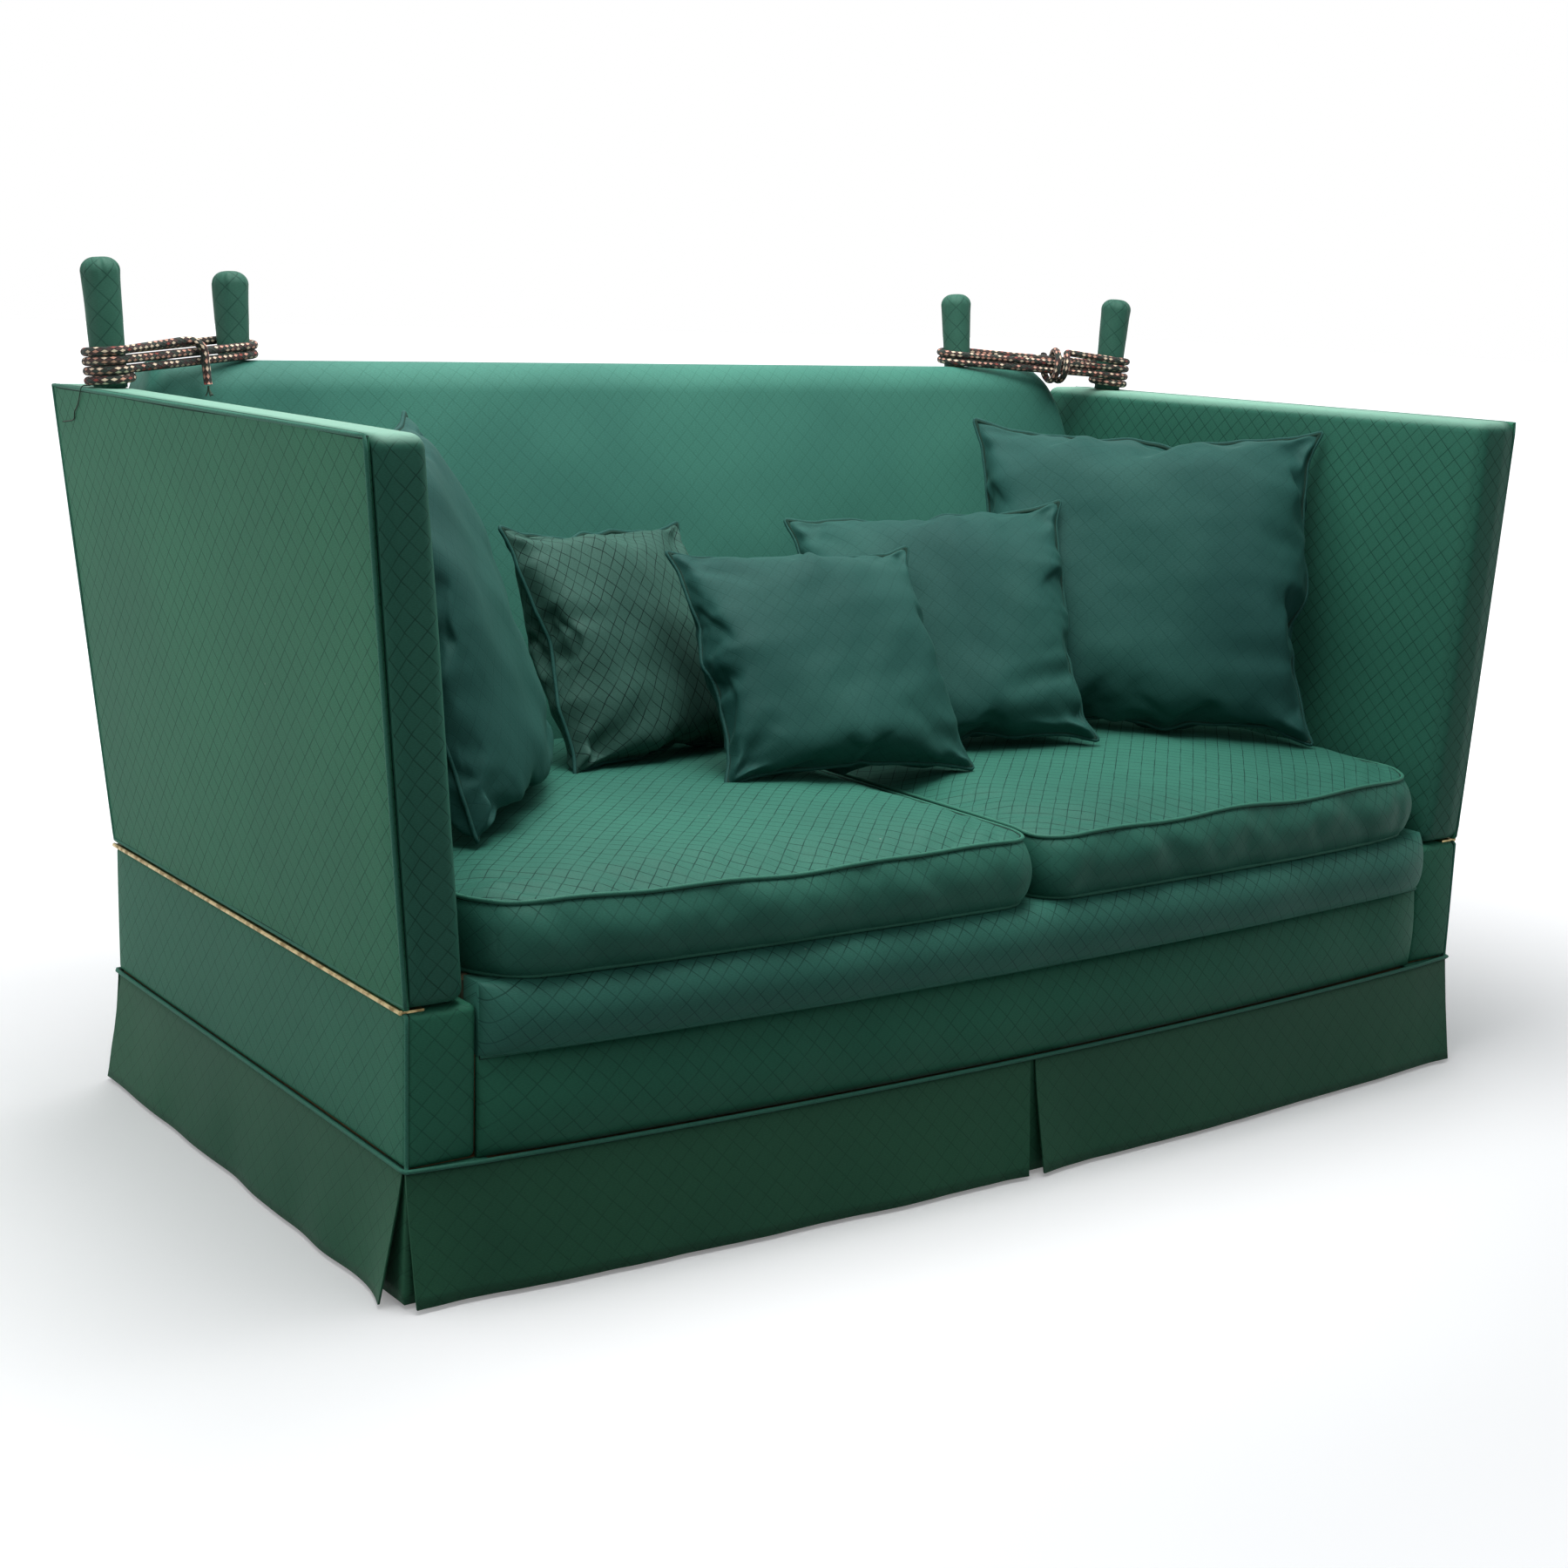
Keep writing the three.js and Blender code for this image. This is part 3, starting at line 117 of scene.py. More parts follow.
# ---------------------------------------------------------------- materials
class Graph:
    """The nodes of a material or of the world, with short calls for those used most."""

    def __init__(self, tree):
        self.tree = tree

    def put(self, made, inputs):
        for key, value in inputs.items():
            if isinstance(value, bpy.types.NodeSocket):
                self.tree.links.new(value, made.inputs[key])
            else:
                made.inputs[key].default_value = value

    def node(self, kind, inputs=None, **settings):
        made = self.tree.nodes.new("ShaderNode" + kind)
        for key, value in settings.items():
            setattr(made, key, value)
        self.put(made, inputs or {})
        return made

    def calc(self, operation, a, b=0.0):
        return self.node("Math", {0: a, 1: b}, operation=operation).outputs[0]

    def times(self, a, b):
        return self.calc("MULTIPLY", a, b)

    def mix(self, amount, a, b, blend="MIX"):
        inputs = {0: amount, 6: a, 7: b}
        return self.node("Mix", inputs, data_type="RGBA", blend_type=blend).outputs[2]

    def ramp(self, value, low, high, to_low=0.0, to_high=1.0):
        inputs = {"Value": value, "From Min": low, "From Max": high, "To Min": to_low, "To Max": to_high}
        return self.node("MapRange", inputs, interpolation_type="SMOOTHSTEP").outputs[0]

    def noise(self, vector, scale, detail=2.0, rough=0.5):
        inputs = {"Vector": vector, "Scale": scale, "Detail": detail, "Roughness": rough}
        return self.node("TexNoise", inputs).outputs["Fac"]

    def scaled(self, vector, scale):
        return self.node("Mapping", {"Vector": vector, "Scale": scale}).outputs[0]

    def coord(self, name):
        return self.node("TexCoord").outputs[name]

    def xyz(self, vector):
        return self.node("SeparateXYZ", {0: vector}).outputs

    def ray(self):
        """1 for what the camera sees straight or in a gloss, 0 for the light that bounces on."""
        path = self.node("LightPath").outputs
        seen = self.calc("MAXIMUM", path["Is Camera Ray"], path["Is Glossy Ray"])
        return self.calc("MAXIMUM", seen, path["Is Transmission Ray"])


class Finish(Graph):
    """A material with one Principled shader."""

    def __init__(self, name, rough, metal=0.0, sheen=0.0, tint=(1, 1, 1, 1), specular=0.5):
        self.mat = bpy.data.materials.new(name)
        self.mat.use_nodes = True
        super().__init__(self.mat.node_tree)
        self.shader = self.tree.nodes["Principled BSDF"]
        self.put(self.shader, {"Roughness": rough, "Metallic": metal, "Sheen Weight": sheen,
                               "Sheen Roughness": 0.45, "Sheen Tint": tint, "Specular IOR Level": specular})

    def done(self, colour, height=None, strength=0.0, distance=0.0, **more):
        """Plugs in the colour, the relief and more, and gives the material."""
        if height is not None:
            bump = self.node("Bump", {"Height": height, "Strength": strength, "Distance": distance})
            more["Normal"] = bump.outputs[0]
        self.put(self.shader, {"Base Color": colour, **more})
        return self.mat


def srgb(*levels):
    return tuple(((c / 255 + 0.055) / 1.055) ** 2.4 if c > 10 else c / 255 / 12.92 for c in levels) + (1.0,)


# the second colour is a painted highlight laid on faces that face up
LINT, TOP_HIGHLIGHT = (0.5, 0.56, 0.5, 1), srgb(132, 178, 158)


def damask(name, base, shade, line, lattice=0.75, pitch=0.0215, rough=0.58, lit_from_above=0.0, side_lines=1.0,
           gloss_of=0.16):
    """Satin damask: fine weave, a thin dark lattice at 45 degrees, soft changes of colour, lint, and where
    asked a painted highlight on faces that face up.
    """
    g = Finish(name, rough, 0.0, 0.03, (0.4, 0.85, 0.65, 1), gloss_of)
    uv = g.coord("UV")
    wander = g.node("TexNoise", {"Vector": uv, "Scale": 38.0, "Detail": 1.0}).outputs["Color"]
    moved = g.node("VectorMath", {0: wander, 1: (0.0016, 0.0016, 0.0), 2: uv}, operation="MULTIPLY_ADD")
    u, v, _ = g.xyz(moved.outputs[0])
    lines = []
    for operation in ("ADD", "SUBTRACT"):
        across = g.times(g.calc(operation, u, v), 1 / (pitch * math.sqrt(2)))
        lines.append(g.ramp(g.calc("PINGPONG", across, 0.5), 0.022, 0.046, 1.0, 0.0))
    cross = g.calc("MAXIMUM", *lines)
    patchy = g.ramp(g.noise(uv, 30.0), 0.35, 0.6, 0.55, 1.0)
    drawn = g.times(cross, g.times(patchy, lattice))
    if side_lines < 1:
        drawn = g.times(drawn, g.ramp(g.xyz(g.coord("Normal"))[2], 0.3, 0.8, side_lines, 1.0))
    broad = g.ramp(g.noise(g.coord("Object"), 2.6, 3.0), 0.3, 0.7)
    ground = g.mix(broad, srgb(*base), srgb(*shade))
    weft = g.noise(g.scaled(uv, (260.0, 1500.0, 1.0)), 1.0, 1.0)
    grain = g.ramp(weft, 0.3, 0.7, 0.86, 1.1)
    grey = g.node("CombineXYZ", {0: grain, 1: grain, 2: grain}).outputs[0]
    coloured = g.mix(drawn, g.mix(1.0, ground, grey, "MULTIPLY"), srgb(*line))
    if lit_from_above:
        # painted highlight: faces that face up are made lighter, as where the light falls on them
        top_highlight_amount = g.times(g.ramp(g.xyz(g.coord("Normal"))[2], 0.35, 1.0), lit_from_above)
        coloured = g.mix(top_highlight_amount, coloured, TOP_HIGHLIGHT)
    specks = g.node("TexVoronoi", {"Vector": uv, "Scale": 26.0, "Randomness": 1.0}).outputs
    chance = g.node("SeparateColor", {0: specks["Color"]}).outputs[0]
    lint = g.times(g.calc("GREATER_THAN", chance, 0.955), 0.25)
    coloured = g.mix(g.times(g.ramp(specks["Distance"], 0.02, 0.05, 1.0, 0.0), lint), coloured, LINT)
    fine = g.noise(g.scaled(uv, (900.0, 900.0, 1.0)), 1.0, 1.0)
    cloth = g.calc("ADD", fine, g.times(weft, 0.6))
    height = g.calc("SUBTRACT", g.times(cloth, 0.25), g.times(cross, 0.6))
    return g.done(coloured, height, 0.35, 0.0006, Roughness=g.ramp(drawn, 0.0, 1.0, rough, rough + 0.2))


COVER = damask("green_damask", (50, 116, 91), (43, 105, 83), (19, 60, 48), 0.5)
# the inside back gets a lighter, bluer copy of the cover's cloth as painted sheen
BACK_SHEEN = damask("back_sheen_damask", (65, 124, 108), (56, 111, 98), (32, 82, 70), 0.28)
# the padded arms' cloth is a darker copy of the cover's as painted shade, with a painted highlight on their
# tops
ARM_SHADED = damask("arm_shaded_damask", (47, 104, 86), (40, 93, 77), (12, 44, 37), 0.72, 0.0198, lit_from_above=0.88)
# the arms' outer panels get a lighter, greener copy of the cover's cloth as painted light from the side
OUTER_LIT = damask("outer_lit_damask", (51, 123, 92), (44, 111, 84), (17, 58, 44), 0.6)
POST = damask("post_damask", (54, 100, 84), (47, 90, 76), (20, 54, 46), 0.6, 0.0235)
# the skirt's cloth is a darker, yellower copy of the cover's; its darkness is painted shade
SKIRT_SHADED = damask("skirt_shaded_damask", (45, 97, 71), (38, 86, 64), (18, 50, 39), 0.35)
CUSHION = damask("cushion_damask", (41, 86, 78), (32, 73, 68), (18, 54, 50), 0.28, 0.018, 0.62, gloss_of=0.1)
SEAT = damask("seat_damask", (53, 113, 96), (46, 102, 87), (14, 48, 42), 0.9, 0.0185, side_lines=0.35)
GREY = damask("grey_damask", (56, 92, 81), (48, 81, 72), (10, 26, 24), 1.0, 0.0165, gloss_of=0.1)
# the piping's cord is a lighter copy of the cover's cloth as painted highlight
PIPING_HIGHLIGHT = damask("piping_highlight_damask", (62, 124, 104), (54, 112, 94), (30, 76, 62), 0.2)
# the front roll's cloth is a lighter copy of the cover's as painted highlight, with the seat's finer lattice
ROLL_HIGHLIGHT = damask("roll_highlight_damask", (60, 122, 106), (53, 110, 96), (14, 48, 42), 0.85, 0.0185, side_lines=0.6)
# a dark copy of the cloth, used as painted shadow beside piped cords and for the post covers' seam lines
SEAM_SHADE = damask("seam_shadow", (26, 58, 48), (22, 50, 42), (16, 40, 34), 0.1, rough=0.8)


def wood():
    g = Finish("beech", 0.6)
    rings = g.noise(g.scaled(g.coord("Object"), (3.0, 60.0, 60.0)), 1.0, 4.0, 0.6)
    return g.done(g.mix(rings, srgb(176, 138, 92), srgb(120, 86, 52)), rings, 0.3, 0.0005)


def hessian(name, light, dark, scale):
    g = Finish(name, 0.9, sheen=0.2)
    place = g.coord("Object")
    x, y, _ = g.xyz(place)
    woven = g.times(g.calc("SINE", g.times(x, scale)), g.calc("SINE", g.times(y, scale)))
    amount = g.ramp(g.calc("ADD", g.times(woven, 0.3), g.noise(place, 45.0, 3.0)), 0.2, 0.9)
    return g.done(g.mix(amount, srgb(*dark), srgb(*light)), woven, 0.5, 0.0006)


def brass():
    g = Finish("dull_brass", 0.38, 1.0)
    stain = g.ramp(g.noise(g.coord("Object"), 90.0, 4.0), 0.35, 0.7)
    colour = g.mix(stain, srgb(186, 168, 122), srgb(128, 110, 74))
    return g.done(colour, Roughness=g.ramp(stain, 0.0, 1.0, 0.3, 0.55))


def braid():
    """Two sets of helical strands that cross, dark with cream, pink and red flecks, with painted shade in the
    grooves between them.
    """
    g = Finish("dark_braid", 0.8, sheen=0.15)
    u, v, _ = g.xyz(g.coord("UV"))
    around, along = g.times(u, 12.0), g.times(v, 1 / 0.0052)
    strands = [g.times(g.calc(way, along, around), 0.5) for way in ("ADD", "SUBTRACT")]
    cells = [g.calc("FLOOR", strand) for strand in strands]
    cell = g.node("CombineXYZ", {0: cells[0], 1: cells[1], 2: 0.0}).outputs[0]
    chance = g.node("TexWhiteNoise", {"Vector": cell}, noise_dimensions="3D").outputs["Value"]
    near = [g.calc("PINGPONG", strand, 0.5) for strand in strands]
    hump = g.ramp(g.calc("MINIMUM", *near), 0.02, 0.2)
    dark = g.mix(g.calc("GREATER_THAN", chance, 0.45), srgb(24, 42, 32), srgb(58, 34, 30))
    # every other strand is a pale one
    pale = dark
    for least, colour in ((0.2, (142, 66, 56)), (0.3, (214, 158, 136)), (0.62, (238, 214, 186))):
        pale = g.mix(g.calc("GREATER_THAN", chance, least), pale, srgb(*colour))
    odd = g.calc("PINGPONG", g.calc("ADD", *cells), 1.0)
    # the grooves between strands are painted near black as shade
    return g.done(g.mix(hump, srgb(22, 17, 14), g.mix(odd, dark, pale)), hump, 0.9, 0.0012)


def frayed():
    g = Finish("frayed_thread", 0.9, sheen=0.3)
    return g.done(g.mix(g.noise(g.coord("Object"), 300.0), srgb(16, 44, 30), srgb(48, 74, 54)))


WOOD, BRASS, BRAID, FRAYED = wood(), brass(), braid(), frayed()
JUTE = hessian("jute_webbing", (168, 146, 104), (112, 92, 60), 2400.0)
HESSIAN = hessian("hessian_cloth", (150, 130, 92), (98, 82, 54), 1900.0)


# ---------------------------------------------------------------- meshes
def piece(name, points, faces, uvs, mat, body, replaced=()):
    """A smooth mesh with a UV for each corner of each face, riding on a body."""
    obj, mesh = added_mesh(name, points, faces)
    layer = mesh.uv_layers.new(name="weave")
    flat = np.array([c for face in uvs for c in face], np.float32)
    layer.data.foreach_set("uv", flat.ravel())
    mesh.polygons.foreach_set("use_smooth", [True] * len(mesh.polygons))
    mesh.materials.append(mat)
    mesh.validate()
    if body:
        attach(obj, body)
    if replaced:
        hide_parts(*replaced)
    return obj


def outward(obj):
    """Turns a closed mesh's faces to face out."""
    co = np.array([v.co for v in obj.data.vertices])
    volume = 0.0
    for ids in (poly.vertices for poly in obj.data.polygons):
        for k in range(1, len(ids) - 1):
            volume += np.dot(np.cross(co[ids[0]], co[ids[k]]), co[ids[k + 1]])
    if volume < 0:
        obj.data.flip_normals()
    return obj


def grid_faces(rows, columns, closed_rows=False):
    """Quads over rows of points, each row a closed ring."""
    last = rows if closed_rows else rows - 1
    places = [(i, (i + 1) % rows, j, (j + 1) % columns) for i in range(last) for j in range(columns)]
    return [(i * columns + j, i * columns + k, m * columns + k, m * columns + j) for i, m, j, k in places]


def unit(vectors):
    return vectors / (np.linalg.norm(vectors, axis=-1, keepdims=True) + 1e-12)


def arc_lengths(points):
    steps = np.linalg.norm(np.diff(points, axis=0), axis=-1)
    return np.concatenate([[0], np.cumsum(steps)])


def tube(name, path, radius, mat, body, closed=False, sides=8, around=None):
    """A round cord along a path, with its ends closed."""
    path = np.array(path, float)
    count = len(path)
    ahead = np.roll(path, -1, 0) - np.roll(path, 1, 0) if closed else np.gradient(path, axis=0)
    tangents = unit(ahead)
    side = np.array([1.0, 0.0, 0.0]) if abs(tangents[0][2]) > 0.9 else np.array([0.0, 0.0, 1.0])
    frames = []
    for t in tangents:
        side = unit(side - (side @ t) * t)
        frames.append((side, np.cross(t, side)))
    if closed:
        a0, b0 = frames[0]
        s = frames[-1][0] - (frames[-1][0] @ tangents[0]) * tangents[0]
        twist = math.atan2(s @ b0, s @ a0)
        for k, (a, b) in enumerate(frames):
            c, d = math.cos(-twist * k / count), math.sin(-twist * k / count)
            frames[k] = (a * c + b * d, b * c - a * d)
    turns = np.linspace(0, 2 * math.pi, sides, endpoint=False)[:, None]
    rings = [p + radius * (np.cos(turns) * a + np.sin(turns) * b) for p, (a, b) in zip(path, frames)]
    faces = [f[::-1] for f in grid_faces(count, sides, closed)]
    along = arc_lengths(np.concatenate([path, path[:1]]) if closed else path)
    around = 2 * math.pi * radius if around is None else around
    uvs = []
    for low, high in zip(along, along[1:]):
        for j in range(sides):
            a, b = around * j / sides, around * (j + 1) / sides
            uvs.append([(a, high), (b, high), (b, low), (a, low)])
    if not closed:
        ends = [list(range(sides))[::-1], list(range((count - 1) * sides, count * sides))]
        faces += ends
        uvs += [[(0.0, 0.0)] * sides] * 2
    return piece(name, np.concatenate(rings), faces, uvs, mat, body, ())


def soft_box(name, low, high, radius, mat, body, deform, replaced, bulge):
    """A padded box: rounded edges, faces that swell by bulge, then bent by deform into place."""
    low, high = np.array(low, float), np.array(high, float)
    half, middle = (high - low) / 2, (high + low) / 2
    radius = min(radius, float(half.min()) * 0.98)
    stops = []
    for h in half:
        flat = h - radius
        edge = [flat + radius * e for e in (0.2, 0.42, 0.68, 1.0)]
        inner = list(np.linspace(-flat, flat, max(2, int(2 * flat / 0.03) + 1)))
        stops.append(np.array([-e for e in edge[::-1]] + inner + edge))
    points, index, faces, uvs = [], {}, [], []

    def vertex(p):
        key = tuple(np.round(p, 7))
        if key not in index:
            index[key] = len(points)
            core = np.clip(p, -(half - radius), half - radius)
            out = p - core
            length = np.linalg.norm(out)
            q = core + out / length * radius if length > 1e-9 else p.copy()
            share = np.clip(np.abs(p) / half, 0, 1)
            axis = int(np.argmax(share))
            swell = bulge[axis] * np.prod([1 - share[k] ** 4 for k in range(3) if k != axis])
            q[axis] += math.copysign(swell, p[axis])
            points.append(q + middle)
        return index[key]

    for axis in range(3):
        a, b = [(1, 2), (0, 2), (0, 1)][axis]
        cells = [(i, j) for i in range(len(stops[a]) - 1) for j in range(len(stops[b]) - 1)]
        for sign in (-1, 1):
            for i, j in cells:
                corners = []
                for s, t in ((i, j), (i + 1, j), (i + 1, j + 1), (i, j + 1)):
                    p = np.zeros(3)
                    p[axis] = sign * half[axis]
                    p[a], p[b] = stops[a][s], stops[b][t]
                    corners.append((vertex(p), (p[a] + middle[a], p[b] + middle[b])))
                if (sign > 0) == (axis == 1):
                    corners = corners[::-1]
                faces.append([c[0] for c in corners])
                uvs.append([c[1] for c in corners])
    return outward(piece(name, deform(np.array(points)), faces, uvs, mat, body, replaced))


def shell(name, rings, uvs, mat, body, replaced=()):
    """A closed skin through rings of points (rings, around, 3), with its ends closed."""
    rings = np.array(rings, float)
    rows, columns = rings.shape[:2]
    faces, corners = grid_faces(rows, columns), []
    for i in range(rows - 1):
        for j in range(columns):
            corners.append([uvs[i][j], uvs[i][j + 1], uvs[i + 1][j + 1], uvs[i + 1][j]])
    for row, way in ((0, -1), (rows - 1, 1)):
        faces.append([row * columns + j for j in range(columns)][::way])
        corners.append([uvs[row][j] for j in range(columns)][::way])
    return outward(piece(name, rings.reshape(-1, 3), faces, corners, mat, body, replaced))


def welt(name, path, out, body, radius=0.0026, closed=False, mat=PIPING_HIGHLIGHT):
    """A piped seam: a covered cord, and under it a wider dark tube whose edges show at each side of it as
    painted shadow.
    """
    path, out = np.array(path, float), np.array(out, float)
    out = np.broadcast_to(out / np.linalg.norm(out, axis=-1, keepdims=True), path.shape)
    tube(name, path + out * radius * 0.3, radius, mat, body, closed, 10)
    # a dark tube sunk under the cord: its edges are painted shadow beside the cord
    tube(name + "_seam", path - out * radius * 0.75, radius * 1.22, SEAM_SHADE, body, closed, 8)


def loop_out(path, normal):
    """The way out of a closed loop at each point, in the plane across a normal."""
    tangent = np.roll(path, -1, 0) - np.roll(path, 1, 0)
    out = np.cross(tangent, normal)
    if ((path - path.mean(0)) * out).sum() < 0:
        out = -out
    return out / (np.linalg.norm(out, axis=1)[:, None] + 1e-9)


def field(points, size, seed, waves=9):
    """A smooth height at each point, about -1 to 1, with features of about a size."""
    rng = np.random.RandomState(seed)
    total = np.zeros(len(points))
    for _ in range(waves):
        way = rng.normal(size=3)
        way *= 2 * math.pi / size * rng.uniform(0.6, 1.3) / np.linalg.norm(way)
        total += np.sin(points @ way + rng.uniform(0, 2 * math.pi))
    return total / math.sqrt(waves)


def step_up(value, low, high):
    t = np.clip((value - low) / (high - low), 0, 1)
    return t * t * (3 - 2 * t)


def crowded(length, count=140):
    """Distances along a length, closer together towards its ends."""
    return length * (1 - np.cos(np.linspace(0, math.pi, count))) / 2


# ---------------------------------------------------------------- ropes, laid as in the solids
ROPE_R, ROPE_GAP, LAPS, RISE = 0.006, 0.0007, 2, 0.5
PITCH_R = 2 * ROPE_R + ROPE_GAP
FOOT_R, HEAD_R = 0.022, 0.0255
POST_TOP, ARM_ALONG, LEFT_RISE, BACK_INSET = 1.153, 0.798, 0.014, 0.030
BACK_POST_X = {-1: -0.694, 1: 0.640}
BACK_POST_HEIGHT = POST_TOP - BACK_TOP
KNOT_SHARES, KNOT_OUT, KNOT_HALF, KNOT_R, KNOT_TURNS, KNOT_START = (0.34, 0.44), 0.020, 0.007, 0.026, 1.8, 1.1
TAIL_SHARE, TAIL_BEND, TAIL_LIFT, TAIL_REACH = 0.56, 0.09, 0.9, 0.046
ROPE_STEP = 0.003


def arm_post_height(sign):
    return POST_TOP - ARM_TOP + (LEFT_RISE if sign < 0 else 0)


def arm_post_place(sign):
    return arm_point(sign, ARM_THICK / 2, ARM_ALONG, np.float64(ARM_TOP))


def back_post_place(sign):
    return np.array([BACK_POST_X[sign], rear_at(BACK_TOP) - BACK_INSET + SHIFT, BACK_TOP])


class Core:
    """A post that the rope winds round, which tapers, and leans by slope as it rises."""

    def __init__(self, place, height, slope):
        self.place, self.height, self.slope = place, height, np.array(slope)

    def centre(self, z):
        return self.place[:2] + self.slope * (z - self.place[2])

    def radius(self, z):
        return FOOT_R + (HEAD_R - FOOT_R) * (z - self.place[2]) / self.height + ROPE_R + ROPE_GAP

    def level(self, turns):
        return self.place[2] + ROPE_R + 2 * ROPE_GAP + PITCH_R * turns


def rope_route(sign):
    """The rope's way: laced round both posts, then a tail on the left or binding turns on the right."""
    spin, bound = -sign, sign > 0
    arm = Core(arm_post_place(sign), arm_post_height(sign), (sign * math.tan(LEAN_ANGLE), 0))
    back = Core(back_post_place(sign), BACK_POST_HEIGHT, (0, math.tan(RAKE_ANGLE)))
    heading = (back.place - arm.place)[:2]
    heading = heading / np.linalg.norm(heading)
    front = np.array([heading[1], -heading[0]]) * spin
    points = []

    def between(share, out, z):
        xy = arm.centre(z) + (back.centre(z) - arm.centre(z)) * share + front * out
        return np.array([xy[0], xy[1], z])

    def strand(out, low, high):
        shares = KNOT_SHARES if bound else (0.5,)
        place = KNOT_OUT + math.copysign(KNOT_HALF, out) if bound else out
        return [between(s, place, low + (high - low) * s) for s in shares]

    def tangent(core, z, point, way):
        d = point[:2] - core.centre(z)
        return math.atan2(d[1], d[0]) + way * math.acos(core.radius(z) / math.hypot(*d))

    def wind(core, turns, start, end, more=0):
        sweep = ((end - start) * spin) % (2 * math.pi) + more * 2 * math.pi
        steps = math.ceil(sweep / (2 * math.pi) * 40)
        for i in range(steps + 1):
            turned = sweep * i / steps
            z = core.level(turns) + PITCH_R * turned / (2 * math.pi)
            angle = start + spin * turned
            xy = core.centre(z) + core.radius(z) * np.array([math.cos(angle), math.sin(angle)])
            points.append(np.array([xy[0], xy[1], z]))

    stand = FOOT_R + ROPE_R + ROPE_GAP
    start = math.atan2(heading[1], heading[0]) + math.pi - spin * math.pi / 2
    turns = 0
    outs, homes = [], []
    for lap in range(LAPS):
        outs.append(strand(stand, arm.level(lap + 1 + RISE), back.level(lap)))
        homes.append(strand(-stand, arm.level(lap + 2), back.level(lap + RISE)))
        out, home = outs[-1], homes[-1][::-1]
        wind(arm, turns, start, tangent(arm, arm.level(turns + RISE), out[0], -spin), 1 if lap == 0 else 0)
        points.extend(out)
        low, high = back.level(lap), back.level(lap + RISE)
        wind(back, lap, tangent(back, low, out[-1], spin), tangent(back, high, home[0], -spin))
        points.extend(home)
        turns = lap + 2
        start = tangent(arm, arm.level(turns), home[-1], spin)
    high = arm.level(turns + RISE)
    if bound:
        middle = (outs[0][0][2] + homes[-1][0][2]) / 2

        def circle(share, t):
            return between(share, KNOT_OUT + KNOT_R * math.cos(t), middle + KNOT_R * math.sin(t))

        first, last = KNOT_SHARES
        wind(arm, turns, start, tangent(arm, high, circle(first, KNOT_START), -spin))
        steps = math.ceil(KNOT_TURNS * 40)
        for i in range(steps + 1):
            share = first + (last - first) * i / steps
            points.append(circle(share, KNOT_START - 2 * math.pi * KNOT_TURNS * i / steps))
    else:
        over, past = high + PITCH_R * TAIL_LIFT, TAIL_SHARE + TAIL_BEND / 6
        out = stand + PITCH_R + ROPE_GAP
        hang = [between(TAIL_SHARE - TAIL_BEND, stand, over),
                between(TAIL_SHARE - TAIL_BEND / 3, stand + ROPE_R, over),
                between(TAIL_SHARE, out - ROPE_GAP, over - ROPE_R), between(past, out, over - PITCH_R)]
        wind(arm, turns, start, tangent(arm, high, hang[0], -spin))
        points.extend(hang)
        for i in range(1, 5):
            points.append(between(past, out + ROPE_GAP * i, over - PITCH_R - TAIL_REACH * i / 4))
    return np.array(points)


def resample(path, step, rounds=2):
    """Points a set distance apart along a path, with its corners eased."""
    fine = path
    for _ in range(rounds):
        along = arc_lengths(fine)
        at = np.linspace(0, along[-1], int(along[-1] / step) + 1)
        fine = np.stack([np.interp(at, along, fine[:, k]) for k in range(3)], 1)
        eased = fine.copy()
        eased[1:-1] = (fine[:-2] + 2 * fine[1:-1] + fine[2:]) / 4
        fine = eased
    return fine


def follow_arm(obj):
    """Bakes a piece of rope's placement into its points."""
    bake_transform(obj)


routes = {}
for side, sign in SIDES:
    route = routes[side] = resample(rope_route(sign), ROPE_STEP)
    # the braid's own crossings stand a little proud of the line of the rope
    rope = tube(side + "_braided_rope", route, ROPE_R - 0.0002, BRAID, None, False, 16, 1.0)
    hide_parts(side + "_rope")
    follow_arm(rope)


# ---------------------------------------------------------------- arms
def arm_bend(sign):
    def bend(p):
        inset = np.maximum(p[:, 0], 0.0064)
        inset = inset + step_up(inset, 0.05, ARM_THICK) * 0.0012 * field(p, 0.35, 3)
        return arm_point(sign, inset, p[:, 1], p[:, 2])

    return bend


def panel_bend(sign):
    def bend(p):
        raised = 0.0007 * field(p, 0.3, 5) * (p[:, 0] < 0.003)
        return arm_point(sign, p[:, 0] - raised, p[:, 1], p[:, 2])

    return bend


